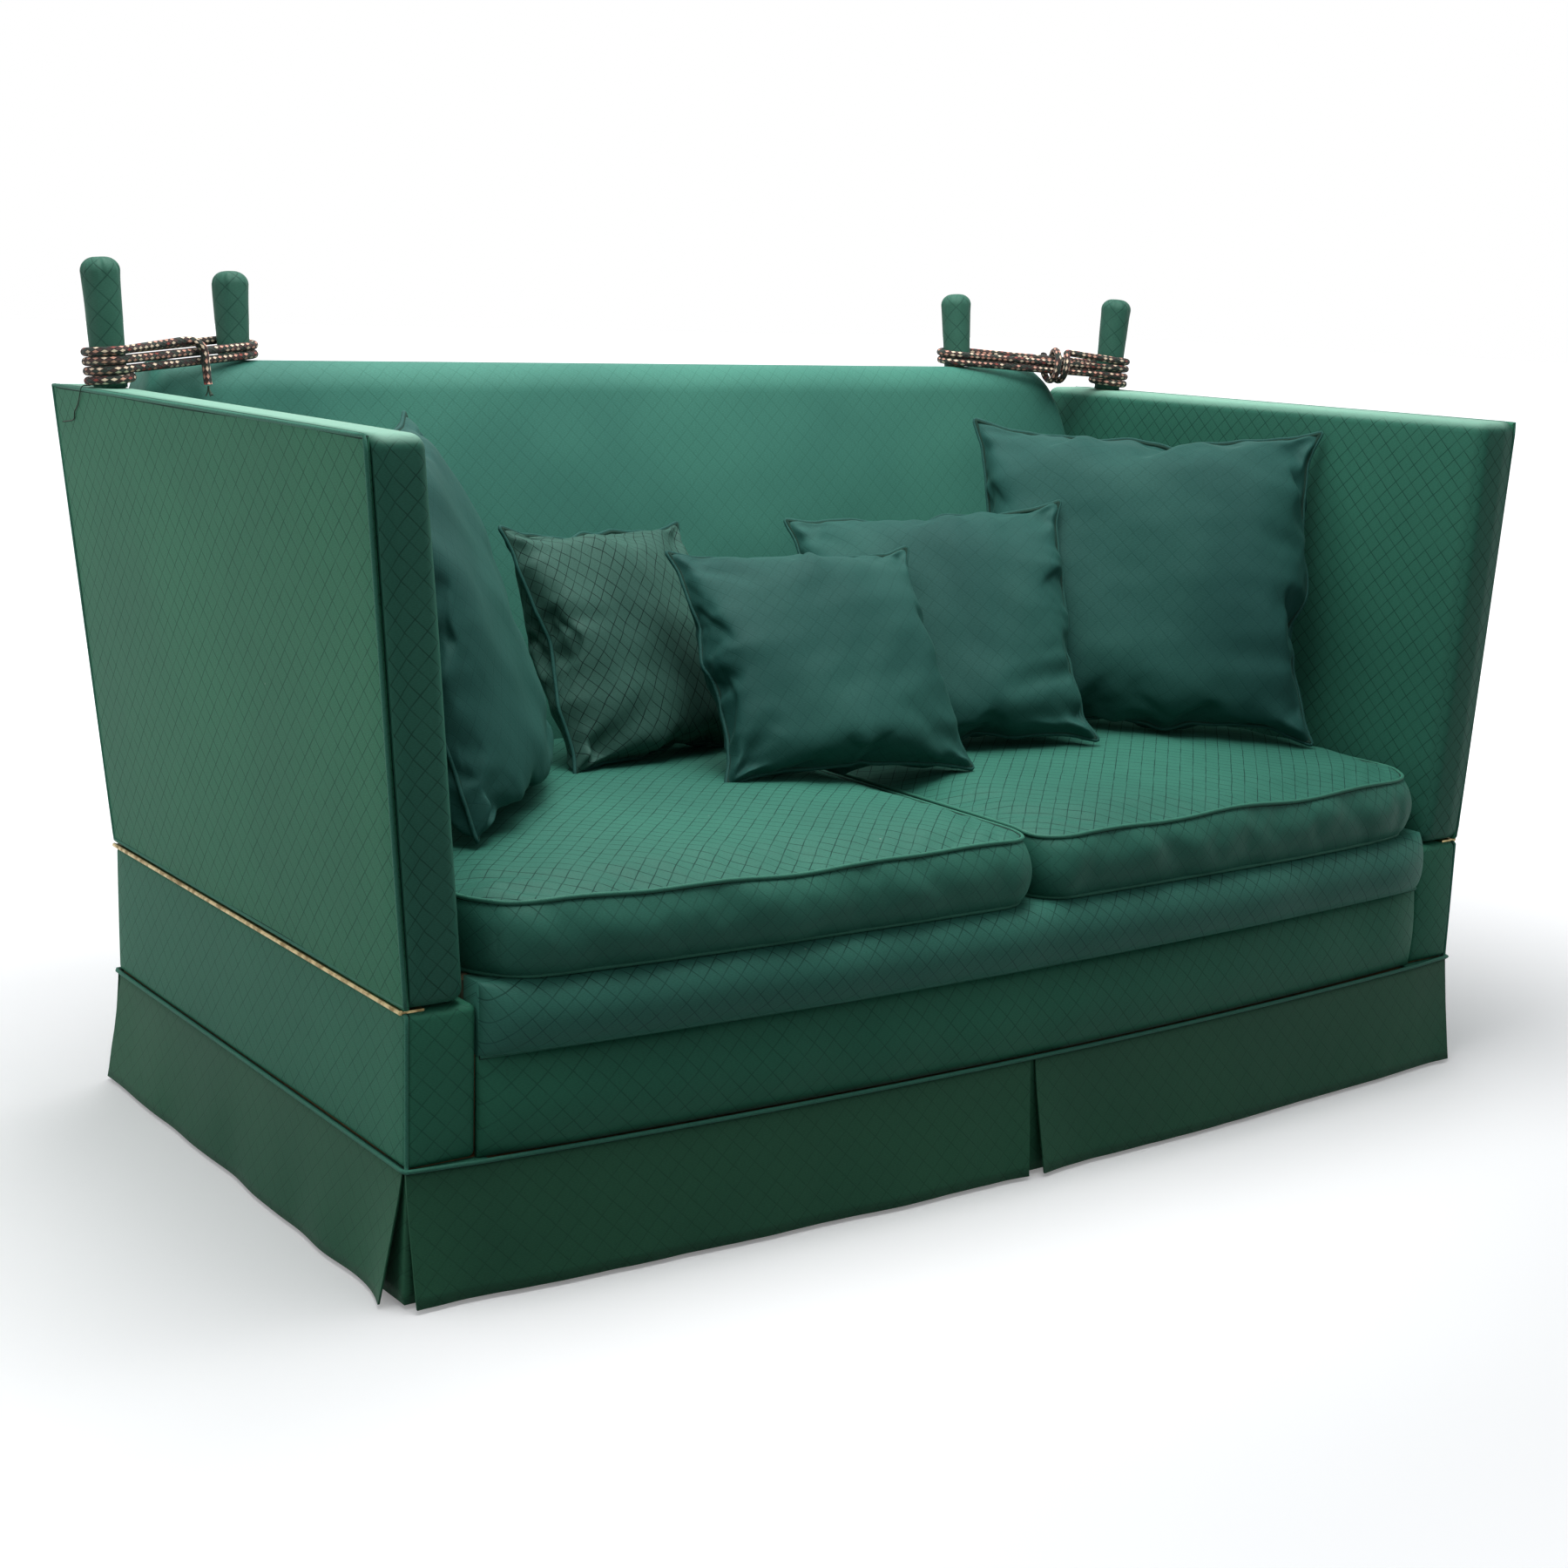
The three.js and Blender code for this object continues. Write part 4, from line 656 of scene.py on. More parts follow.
WELT_FOOT, WELT_EASE, WELT_POINTS = ARM_LOW + 0.003, 0.0025, 40
WELT_CORNERS = [(0, WELT_FOOT), (0, ARM_TOP), (DEPTH, ARM_TOP), (DEPTH, WELT_FOOT)]
for side, sign in SIDES:
    body = side + "_arm"
    pad = soft_box(
        side + "_padded_arm", (-0.02, 0.0, ARM_LOW), (ARM_THICK, DEPTH, ARM_TOP), 0.0175, ARM_SHADED, body,
        arm_bend(sign), [side + "_arm_pad"], (0.003, 0.005, 0.0008))
    soft_box(
        side + "_outside_arm", (-0.0005, 0.001, ARM_LOW + 0.0005), (0.006, DEPTH - 0.001, ARM_TOP - 0.001),
        0.0025, OUTER_LIT, body, panel_bend(sign), [side + "_arm_outside_panel"], (0.0015, 0.0, 0.0))
    edge, outs = [], []
    for k, (out_y, out_z) in enumerate(((-1, 0), (0, 1), (1, 0), (0, -1))):
        a, b = np.array(WELT_CORNERS[k]), np.array(WELT_CORNERS[(k + 1) % 4])
        edge += [a + (b - a) * t for t in np.linspace(0, 1, WELT_POINTS, endpoint=False)]
        outs += [(sign, out_y, out_z)] * WELT_POINTS
    edge = np.array(edge)
    middle = np.array([DEPTH / 2, (ARM_TOP + ARM_LOW) / 2])
    edge += np.sign(middle - edge) * WELT_EASE
    path = arm_point(sign, 0.0012 + 0 * edge[:, 0], edge[:, 0], edge[:, 1])
    welt(side + "_arm_welt", path, outs, body, 0.0027, True)


# ---------------------------------------------------------------- posts
DOME, POST_LIFT, POST_WIDE = 0.019, 0.0006, 0.0245


def post(name, place, turn, height, body, seed):
    """A tapered round cover with a domed head, its cloth gathered towards the top."""
    around, taper, neck = 96, HEAD_R - FOOT_R, height - DOME
    profile = [(FOOT_R + taper * t, t * neck) for t in np.linspace(0, 1, 34)]
    for a in np.linspace(0, 1, 20)[1:] * math.pi / 2:
        profile.append((HEAD_R - DOME * (1 - math.cos(a)), height - DOME * (1 - math.sin(a))))
    for t in (0.75, 0.5, 0.25, 0.08):
        profile.append(((HEAD_R - DOME) * t, height - 0.0004 * (1 - t)))
    turns = np.linspace(0, 2 * math.pi, around, endpoint=False)
    rng = np.random.RandomState(seed)
    waves = ((7, 0.5), (11, 0.8), (17, 0.6))
    folds = sum(np.sin(turns * k + rng.uniform(0, 6.3)) * w for k, w in waves)
    turn, place = np.array(turn).T, place + (0, 0, POST_LIFT)
    rings, uvs = [], []
    for (r, z), length in zip(profile, arc_lengths(np.array(profile))):
        radius = r * (1 + 0.03 * step_up(z, height - 0.034, height - 0.006) * folds)
        ring = np.stack([radius * np.cos(turns), radius * np.sin(turns), 0 * turns + z], 1)
        ring[:, :2] += 0.0004 * field(ring, 0.05, seed)[:, None]
        rings.append(ring @ turn + place)
        uvs.append([(POST_WIDE * 2 * math.pi * j / around, length) for j in range(around + 1)])
    shell(name, rings, uvs, POST, body, [name + "_cover"])
    # the cover is sewn up the back of the post
    line = np.array([(0, FOOT_R + taper * t + 0.0002, t * neck) for t in np.linspace(0, 1, 20)])
    tube(name + "_seam", line @ turn + place, 0.0007, SEAM_SHADE, body, sides=6)


for side, sign in SIDES:
    lean, rake = Matrix.Rotation(sign * LEAN_ANGLE, 3, "Y"), Matrix.Rotation(-RAKE_ANGLE, 3, "X")
    post(side + "_arm_post", arm_post_place(sign), lean, arm_post_height(sign), side + "_arm", 11 + sign)
    post(side + "_back_post", back_post_place(sign), rake, BACK_POST_HEIGHT, "base", 21 + sign)


# ---------------------------------------------------------------- base sides
FRONT_STAND, FRONT_BOW, SKIRT_HEM, WELT_IN = 0.012, 0.036, 0.006, 0.0022


def bow_at(x):
    return FRONT_BOW * (1 - (x / INNER) ** 2)


def column_bend(sign):
    def bend(p):
        return shifted(np.stack([sign * (p[:, 0] + 0.0008 * field(p, 0.3, 31)), p[:, 1], p[:, 2]], 1))

    return bend


for side, sign in SIDES:
    cover = soft_box(side + "_base_side", (INNER, 0.0, SKIRT_TOP), (HALF, DEPTH, BASE_TOP), 0.009, COVER,
                     "base", column_bend(sign), [side + "_base_cover"], (0.0015, 0.0035, 0.001))
    x = sign * (HALF - WELT_IN)
    upright = [(x, WELT_IN, z) for z in np.linspace(SKIRT_TOP, BASE_TOP - 0.004, 24)]
    upright += [(x, y, BASE_TOP - 0.002) for y in np.linspace(0.0045, 0.03, 6)]
    welt(side + "_column_welt", shifted(np.array(upright)), (sign, -1, 0.2), "base", 0.0025)


# ---------------------------------------------------------------- front border and front roll
LIP, ROLL_TOP = 0.288, 0.376


def front_pad(name, low, high, rear, profile, node_name, seed, mat):
    """A pad along the whole front that bows out; profile gives its belly, out and up."""
    half, rings, uvs = INNER - 0.0005, [], []
    for x in half * np.sin(np.linspace(-1, 1, 151) * math.pi / 2):
        full = math.sqrt(1 - min(1, abs(x) / INNER) ** 26)
        stand = -(FRONT_STAND + bow_at(x)) * full
        belly = [(x, stand - out, low + (high - low) * up) for out, up in profile(full)]
        ring = np.array([(x, rear, low), *belly, (x, rear, high)])
        pulled = 0.0011 * field(ring * (1, 0.3, 0.35), 0.10, seed)
        pulled += 0.0016 * field(ring * (1, 0, 0.1), 0.4, seed + 1)
        pulled[[0, -1]] = 0
        ring[:, 1] -= pulled * np.sin(np.linspace(0, math.pi, len(ring))) ** 0.7 * full
        length = arc_lengths(ring)
        rings.append(ring)
        uvs.append([(x, l) for l in [*length, length[-1] + (high - low)]])
    shell(name, shifted(np.array(rings)), uvs, mat, "base", [node_name])


def border_profile(full):
    shares = np.concatenate([[0, 0.012, 0.03], np.linspace(0.06, 0.94, 22), [0.97, 0.988, 1]])
    return [((0.021 * max(0.0, math.sin(math.pi * t)) ** 0.62 - 0.0095) * full, t) for t in shares]


def roll_profile(full):
    turns = np.linspace(-math.pi / 2, math.pi / 2, 30)
    return [((0.036 * math.cos(t) ** 0.9 - 0.010) * full, (1 + math.sin(t)) / 2) for t in turns]


front_pad("front_border_cover", SKIRT_TOP + 0.0003, LIP - 0.0003, 0.0063, border_profile,
          "front_border", 41, COVER)
front_pad("front_roll_cover", LIP + 0.0003, ROLL_TOP, 0.0346, roll_profile,
          "front_edge_roll", 51, ROLL_HIGHLIGHT)
across = np.sin(np.linspace(-1, 1, 121) * math.pi / 2) * (INNER - 0.002)
full = np.sqrt(1 - np.minimum(1, np.abs(across) / INNER) ** 32)
lip = np.stack([across, -(FRONT_STAND + bow_at(across) - 0.0095) * full - 0.0016, 0 * across + LIP], 1)
welt("front_lip_welt", shifted(lip), (0, -1, 0.6), "base", 0.0028)


# ---------------------------------------------------------------- skirt
PLEAT, FLAT_DROP, LINED, SET_BACK = 0.118, 0.17, 0.0028, 0.0033
LEDGE_LOW, LEDGE_HIGH = 0.1636, 0.1654


def front_line(x):
    """How far the skirt's top line stands out in front of the columns."""
    beyond = np.maximum(0, np.abs(x) - INNER)
    return np.where(beyond > 0, FRONT_STAND * (1 - beyond / 0.09), FRONT_STAND + bow_at(x))


def ledge(side, sign):
    """The turned edge of the column's cover, between its front and the top of the skirt."""
    rings, uvs = [], []
    thick = LEDGE_HIGH - LEDGE_LOW
    for x in np.linspace(INNER - 0.012, HALF - 0.004, 24):
        front, rear = -float(front_line(x)) + 0.0036, 0.006
        deep = rear - front
        rings.append([(sign * x, y, z) for y, z in
                      ((front, LEDGE_LOW), (rear, LEDGE_LOW), (rear, LEDGE_HIGH), (front, LEDGE_HIGH))])
        uvs.append([(x, l) for l in (0.0, deep, thick + deep, 2 * deep, 0.004 + 2 * deep)])
    shell(side + "_column_ledge", shifted(np.array(rings)), uvs, COVER, "base")


def end_lift(distance):
    return np.where(distance > PLEAT, 0, (1 - distance / PLEAT) ** 2)


def skirt_flare(along, first=1.0, last=1.0):
    length = along[-1]
    lift = first * end_lift(along) + last * end_lift(length - along)
    return 0.014 + 0.010 * lift + 0.003 * np.sin(2 * math.pi * along / length) ** 2


def hanging(name, tops, outs, flare, node_name, seed, ripple=0.0015, gape=(0.0, 0.0)):
    """A lined panel that hangs from its top line: flare is how far its hem stands out, gape how far
    its two ends draw in."""
    tops = np.array(tops)
    outs = np.broadcast_to(np.array(outs, float), tops.shape)
    top, along = SKIRT_TOP - 0.0004, arc_lengths(tops)
    tangents = np.gradient(tops, axis=0)
    tangents /= np.linalg.norm(tangents, axis=1)[:, None]
    parted = tangents * (gape[0] * end_lift(along) - gape[1] * end_lift(along[-1] - along))[:, None]
    front = []
    for share in np.linspace(0, 1, 12):
        z = top - (top - SKIRT_HEM) * share
        p = np.stack([along, 0 * along, 0 * along + z], 1)
        wave = share * (ripple * field(p * (1, 1, 0.25), 0.19, seed) + 0.0005 * field(p, 0.06, seed + 3))
        q = tops + outs * (flare * share ** 1.15 + wave)[:, None] + parted * share ** 1.3
        q[:, 2] = z
        front.append(q)
    front = np.array(front)
    back = front - outs[None] * LINED
    rings, uvs = [], []
    for j, a in enumerate(along):
        ring = np.concatenate([front[:, j], back[::-1, j]])
        lengths = arc_lengths(ring)
        rings.append(ring)
        uvs.append([(a, -l) for l in [*lengths, lengths[-1] + LINED]])
    made = shell(name, shifted(np.array(rings)), uvs, SKIRT_SHADED, "base", [node_name])


for side, sign in SIDES:
    ledge(side, sign)
    length = HALF - 0.0045
    along = crowded(length)
    x = sign * (HALF - along)
    hanging("skirt_front_" + side, np.stack([x, -front_line(x), 0 * x], 1), (0, -1, 0), skirt_flare(along),
            "front_skirt_" + side, 61 + sign, gape=(0.003, 0.008))
    length = DEPTH - 0.018
    along = crowded(length)
    tops = np.stack([sign * HALF + 0 * along, 0.009 + along, 0 * along], 1)
    hanging("skirt_side_" + side, tops, (sign, 0, 0), skirt_flare(along, 1, 0), side + "_skirt",
            71 + sign, 0.003, (0.005, -0.018))
    # the corner pleat runs along the front to the corner, then along the side
    run = np.linspace(0, PLEAT, 31)
    x = sign * (HALF - SET_BACK + np.minimum(0, run - PLEAT / 2))
    tops = np.stack([x, SET_BACK + np.maximum(0, run - PLEAT / 2), 0 * run], 1)
    outs = [(sign * (t >= PLEAT / 2), -1 * (t <= PLEAT / 2 + 0.0001), 0) for t in run]
    hanging("pleat_corner_" + side, tops, outs, 0.007 + 0 * run, side + "_corner_pleat",
            81 + sign, 0.0)
along = crowded(2 * HALF)
hanging("skirt_rear", np.stack([along - HALF, DEPTH + 0 * along, 0 * along], 1), (0, 1, 0),
        skirt_flare(along, 0, 0), "back_skirt", 91, gape=(-0.010, -0.010))
run = np.linspace(-PLEAT / 2, PLEAT / 2, 25)
hanging("pleat_centre", np.stack([run, -front_line(run) + SET_BACK, 0 * run], 1), (0, -1, 0),
        0.007 + 0 * run, "front_centre_pleat", 95, 0.0)
x = np.linspace(-HALF, HALF, 241)
loop = [(a, -b - WELT_IN, SKIRT_TOP) for a, b in zip(x, front_line(x))]
loop += [(HALF + WELT_IN, y, SKIRT_TOP) for y in np.linspace(0.004, DEPTH - 0.004, 80)]
loop += [(a, DEPTH + WELT_IN, SKIRT_TOP) for a in np.linspace(HALF, -HALF, 160)]
loop += [(-HALF - WELT_IN, y, SKIRT_TOP) for y in np.linspace(DEPTH - 0.004, 0.004, 80)]
loop = shifted(np.array(loop))
welt("skirt_welt", loop, loop_out(loop, (0, 0, 1)) + (0, 0, 0.5), "base", 0.0027, True)


# ---------------------------------------------------------------- back
DECK, SHOULDER = 0.3758, 0.042
BACK_LOW, BACK_HIGH, CROWN = 0.116, 0.082, 0.012
BACK_ROUND = {1: 0.098, -1: 0.06}
REAR_POINTS, CORNER_POINTS, FRONT_POINTS = 60, 9, 90
CENTRE = REAR_POINTS + CORNER_POINTS + FRONT_POINTS // 2 - 2


def back_thick(z):
    return BACK_LOW + (BACK_HIGH - BACK_LOW) * (z - DECK) / (BACK_TOP - DECK)


def back_half(z):
    return HALF - ARM_THICK + lean_at(z) - 0.0005


def corner_drop(z, sign):
    """How far a top corner of the back is rounded off at a height."""
    t = np.clip((z - (BACK_TOP - 0.15)) / 0.15, 0, 1)
    return BACK_ROUND[sign] * (1 - np.sqrt(1 - t * t)) ** 0.6


def back_ring(z, drawn_in):
    """The back's outline at a height, from its rear round the front, which swells."""
    half = back_half(z) - corner_drop(z, 1)
    rear, front = rear_at(z) - drawn_in, rear_at(z) - back_thick(z) + drawn_in
    rise = math.sin(math.pi * min(1, max(0, (z - DECK) / (BACK_TOP - DECK))))
    soft = min(0.022, (rear - front) / 3)
    quarter = np.linspace(0, 1, CORNER_POINTS) * math.pi / 2
    corner = [(half - soft * (1 - math.cos(t)), front + soft * (1 - math.sin(t))) for t in quarter]
    points = [(x, rear, z) for x in np.linspace(-half, half, REAR_POINTS)]
    points += [(x, y, z) for x, y in corner]
    for s in np.sin(np.linspace(1, -1, FRONT_POINTS) * math.pi / 2)[2:-2]:
        points.append((s * (half - soft), front - CROWN * rise * (1 - s * s), z))
    points = np.array(points + [(-x, y, z) for x, y in corner[::-1]])
    points[:, 0] *= np.where(points[:, 0] < 0, (back_half(z) - corner_drop(z, -1)) / half, 1)
    flat = step_up(-np.abs(points[:, 1] - front), -0.03, 0)
    points[:, 1] -= flat * (0.0016 * field(points, 0.3, 101) + 0.0006 * field(points, 0.09, 102))
    return points


shoulder = BACK_TOP - SHOULDER
stages = [(z, 0) for z in np.linspace(DECK + 0.0003, shoulder, 60)]
stages += [(shoulder + SHOULDER * math.sin(t), (BACK_HIGH / 2 - 0.005) * (1 - math.cos(t)))
           for t in np.linspace(0, math.pi / 2, 14)[1:]]
rings = np.array([back_ring(*s) for s in stages])
uvs = []
for ring, rise in zip(rings, arc_lengths(rings[:, CENTRE])):
    lengths = arc_lengths(np.concatenate([ring, ring[:1]]))
    uvs.append([(a - lengths[CENTRE], rise) for a in lengths])
shell("back_cover", shifted(rings), uvs, BACK_SHEEN, "base", ["inside_back_pad"])


def outside_back(p):
    """Places the flat panel (share of the half width, depth, height) on the rear of the back."""
    z = p[:, 2]
    drop = np.where(p[:, 0] > 0, corner_drop(z, 1), corner_drop(z, -1))
    half = np.minimum(INNER - 0.0003 + np.maximum(0, z - BASE_TOP), back_half(z) - drop - 0.002)
    return shifted(np.stack([p[:, 0] * half, rear_at(z) - p[:, 1], z], 1))


soft_box("outside_back", (-1, -0.0005, SKIRT_TOP + 0.0006), (1, 0.006, BACK_TOP - 0.044), 0.0028,
         COVER, "base", outside_back, ["outside_back_panel"], (0, 0.0015, 0))
heights = np.linspace(SKIRT_TOP + 0.003, BACK_TOP - 0.047, 50)
edge = [(0.997, 0.0008, z) for z in heights]
edge += [(s, 0.0008, BACK_TOP - 0.0465) for s in np.linspace(0.99, -0.99, 90)]
edge += [(-0.997, 0.0008, z) for z in heights[::-1]]
welt("outside_back_welt", outside_back(np.array(edge)), (0, 1, 0), "base", 0.0027)


# ---------------------------------------------------------------- cloth
CLOTH = {"quality": 5, "mass": 0.3, "tension_stiffness": 20, "compression_stiffness": 12,
         "shear_stiffness": 8, "bending_stiffness": 0.4, "air_damping": 2, "use_pressure": True}


def swell_cloth(name, points, faces, frames, pressure, growth, pinned=()):
    """Blows up a closed skin as cloth, and returns where its points go."""
    obj, mesh = added_mesh(name + "_cloth", points, faces)
    cloth = obj.modifiers.new("cloth", "CLOTH")
    settings = cloth.settings
    for key, value in CLOTH.items():
        setattr(settings, key, value)
    settings.uniform_pressure_force = pressure
    settings.shrink_min = -growth
    settings.effector_weights.gravity = 0
    cloth.collision_settings.use_collision = False
    cloth.collision_settings.use_self_collision = False
    if len(pinned):
        group = obj.vertex_groups.new(name="pin")
        group.add([int(i) for i in pinned], 1.0, "REPLACE")
        settings.vertex_group_mass = "pin"
    cloth.point_cache.frame_start, cloth.point_cache.frame_end = 1, frames
    for f in range(1, frames + 1):
        bpy.context.scene.frame_set(f)
    done = obj.evaluated_get(bpy.context.evaluated_depsgraph_get())
    result = np.array([v.co for v in done.data.vertices], float)
    bpy.context.scene.frame_set(1)
    bpy.data.objects.remove(obj)
    bpy.data.meshes.remove(mesh)
    return result


def subdivided(obj):
    modifier = obj.modifiers.new("smooth", "SUBSURF")
    modifier.levels = modifier.render_levels = 1
    graph = bpy.context.evaluated_depsgraph_get()
    made = bpy.data.meshes.new_from_object(obj.evaluated_get(graph), depsgraph=graph)
    obj.modifiers.clear()
    old, obj.data = obj.data, made
    bpy.data.meshes.remove(old)


def spread_over(steps, crowding):
    """Shares from -1 to 1, closer together towards both ends."""
    line = np.linspace(-1, 1, steps + 1)
    return np.sin(line * math.pi / 2) * crowding + line * (1 - crowding)


def rim_of(steps):
    """The places along the edge of a square grid, once round."""
    there, home = range(steps), range(steps, 0, -1)
    return ([(i, 0) for i in there] + [(steps, j) for j in there]
            + [(i, steps) for i in home] + [(0, j) for j in home])


def quad(ids, i, j):
    return [ids[i, j], ids[i + 1, j], ids[i + 1, j + 1], ids[i, j + 1]]


def eased_loop(path, step):
    path = (np.roll(path, 1, 0) + 2 * path + np.roll(path, -1, 0)) / 4
    return resample(np.concatenate([path, path[:1]]), step, 1)[:-1]


# ---------------------------------------------------------------- scatter cushions
PILLOW_DRAW, EAR_IN, MIDDLE_KEPT = 0.14, 0.0075, 0.2


def euler(lean, roll, yaw):
    """The turn of a cushion: Z by yaw, then X by -lean, then Y by roll."""
    turns = ((yaw, "Z"), (-lean, "X"), (roll, "Y"))
    z, x, y = (Matrix.Rotation(math.radians(angle), 3, axis) for angle, axis in turns)
    return np.array(z @ x @ y)


def crease(places, start, end, depth, width):
    """A fold pressed into a face between two places of it, deepest at its start."""
    a, b = np.array(start), np.array(end)
    t = np.clip(((places - a) @ (b - a)) / ((b - a) @ (b - a)), 0, 1)
    gap = np.linalg.norm(places - (a + t[..., None] * (b - a)), axis=-1) / width
    return depth * (1 - 0.7 * t) * (0.35 * np.exp(-((gap - 1.6) ** 2)) - np.exp(-(gap ** 2)))


def scatter(name, width, height, thick, lean, mat, seed, folds, dome=1.1, sunk=0.010):
    """A loose cushion, flat in X and Z until it is turned, with its front towards -Y."""
    steps = 54
    spread = spread_over(steps, 0.35)
    ids = np.zeros((2, steps + 1, steps + 1), int)
    points, flat, names = [], [], []
    for layer in (0, 1):
        for i, a in enumerate(spread):
            for j, b in enumerate(spread):
                rim = i in (0, steps) or j in (0, steps)
                if rim and layer:
                    ids[1, i, j] = ids[0, i, j]
                    continue
                ids[layer, i, j] = len(points)
                full = 0.0 if rim else ((1 - a * a) * (1 - b * b)) ** 0.45
                x = width / 2 * 1.07 * a * (1 - 0.035 * (1 - b * b))
                z = height / 2 * 1.07 * b * (1 - 0.035 * (1 - a * a))
                points.append((x, (2 * layer - 1) * full * thick * 0.30, z))
                flat.append((x, z))
                names.append((a, b))
    squares = [(i, j) for i in range(steps) for j in range(steps)]
    faces = [quad(ids[0], i, j) for i, j in squares] + [quad(ids[1], i, j)[::-1] for i, j in squares]
    points, names = np.array(points), np.array(names)
    points[:, 1] *= 1 + 0.08 * field(points, 0.18, seed)
    moved = swell_cloth(name, points, faces, 22, 3.2, 0.02)
    moved -= (moved.min(0) + moved.max(0)) / 2
    us, vs = names.T
    # the outline: corners that stand out as ears, and sides drawn in between them
    grid = moved[ids[1]]
    drawn = 1 - PILLOW_DRAW * (1 - 0.5 * np.abs(spread) ** 3 - 0.5 * np.abs(spread) ** 6)
    for axis, reach, other, rim in ((0, width / 2, vs, (grid[-1] - grid[0])[:, 0] / 2),
                                    (2, height / 2, us, (grid[:, -1] - grid[:, 0])[:, 2] / 2)):
        moved[:, axis] *= np.interp(other, spread, 1.012 * reach * drawn / rim)
    # the seam lies nearly flat: most of the buckling of the middle surface goes
    fall = (1 - MIDDLE_KEPT) * (moved[ids[0], 1] + moved[ids[1], 1]) / 2
    moved[ids[0], 1] -= fall
    moved[ids[1, 1:-1, 1:-1], 1] -= fall[1:-1, 1:-1]
    for layer in ids:
        rise = moved[layer, 1]
        for _ in range(14):
            near = rise[:-2, 1:-1] + rise[2:, 1:-1] + rise[1:-1, :-2] + rise[1:-1, 2:]
            rise[1:-1, 1:-1] = rise[1:-1, 1:-1] / 2 + near / 8
        moved[layer, 1] = rise
    plump = np.abs(moved[:, 1]) / (np.ptp(moved[:, 1]) / 2)
    moved[:, 1] = np.sign(moved[:, 1]) * thick / 2 * plump ** (dome + 0.4 * step_up(vs, 0.2, 1.0))
    # the ears are rounded off and bunched up
    for a in (-1, 1):
        for b in (-1, 1):
            corner = np.hypot(us - a, vs - b)
            ear = np.exp(-((corner / 0.08) ** 2))
            moved[:, 0] -= a * EAR_IN * ear
            moved[:, 2] -= b * EAR_IN * ear
            bunched = np.exp(-(((corner - 0.13) / 0.1) ** 2))
            moved[:, 1] += np.clip(moved[:, 1] / 0.008, -1, 1) * 0.009 * bunched
            angle = np.arctan2(vs - b, (us - a) + 1e-9)
            pleats = np.exp(-(((corner - 0.2) / 0.13) ** 2)) * np.cos(angle * 8 + 0.8 * a + 1.7 * b)
            moved[:, 1] += np.clip(moved[:, 1] / 0.015, -1, 1) * 0.006 * pleats
    # a fold that starts at a side, not at a corner, pulls the seam in
    for start, end, depth, _ in folds:
        if max(map(abs, start)) > 0.9 and min(map(abs, start)) < 0.85:
            near = np.exp(-((us - start[0]) ** 2 + (vs - start[1]) ** 2) / 0.010)
            pull = np.array([end[0] - start[0], 0, end[1] - start[1]])
            moved += near[:, None] * pull / np.linalg.norm(pull) * depth * 1.3
    facing = step_up(-moved[:, 1], 0.0, 0.02)
    # the filling has sunk: the front bellies out over the lower seam
    low = np.exp(-(((vs + 0.7) / 0.3) ** 2)) * np.minimum(1, -moved[:, 1] / thick * 3)
    belly = facing * np.maximum(0, 1 - us * us) * low
    moved[:, 2] -= sunk * belly
    moved[:, 1] -= 0.005 * belly
    press = 1.3 * sum(crease(names, *f) for f in folds)
    inside = step_up(1 - np.maximum(np.abs(us), np.abs(vs)), 0.01, 0.10)
    press += 0.0026 * field(moved, 0.16, seed + 1) + 0.0010 * field(moved, 0.06, seed + 2)
    moved[:, 1] -= facing * inside * press
    # small puckers that run in from the piping, strongest at the corners
    for axis, (here, across) in enumerate(((us, vs), (vs, us))):
        rim = np.exp(-((1 - np.abs(here)) / 0.16) ** 2) * inside
        corner = step_up(np.abs(across), 0.3, 0.95)
        lines = field(np.stack([across * width, 0 * us, 0 * us], 1), 0.045, seed + 5 + axis)
        moved[:, 1] -= facing * rim * (0.0010 + 0.0022 * corner) * lines
    turn = euler(*lean)
    placed = moved @ turn.T
    placed += np.mean(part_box(name + "_cushion"), 0) - (placed.max(0) + placed.min(0)) / 2
    corners = [[flat[k] for k in face] for face in faces]
    made = piece(name + "_scatter", placed, faces, corners, mat, "base", [name + "_cushion"])
    subdivided(outward(made))
    dense = eased_loop(placed[[ids[0][k] for k in rim_of(steps)]], 0.004)
    welt(name + "_piping", dense, loop_out(dense, turn[:, 1]), "base", 0.0027, True, CUSHION)


# each ear is bunched up by three short creases
EAR_FOLDS = ((0.93, 0.8, 0.66, 0.66), (0.8, 0.93, 0.6, 0.72), (0.9, 0.9, 0.72, 0.74))
EAR_CREASES = [((a * x0, b * z0), (a * x1, b * z1), 0.0045, 0.042)
               for a in (-1, 1) for b in (-1, 1) for x0, z0, x1, z1 in EAR_FOLDS]
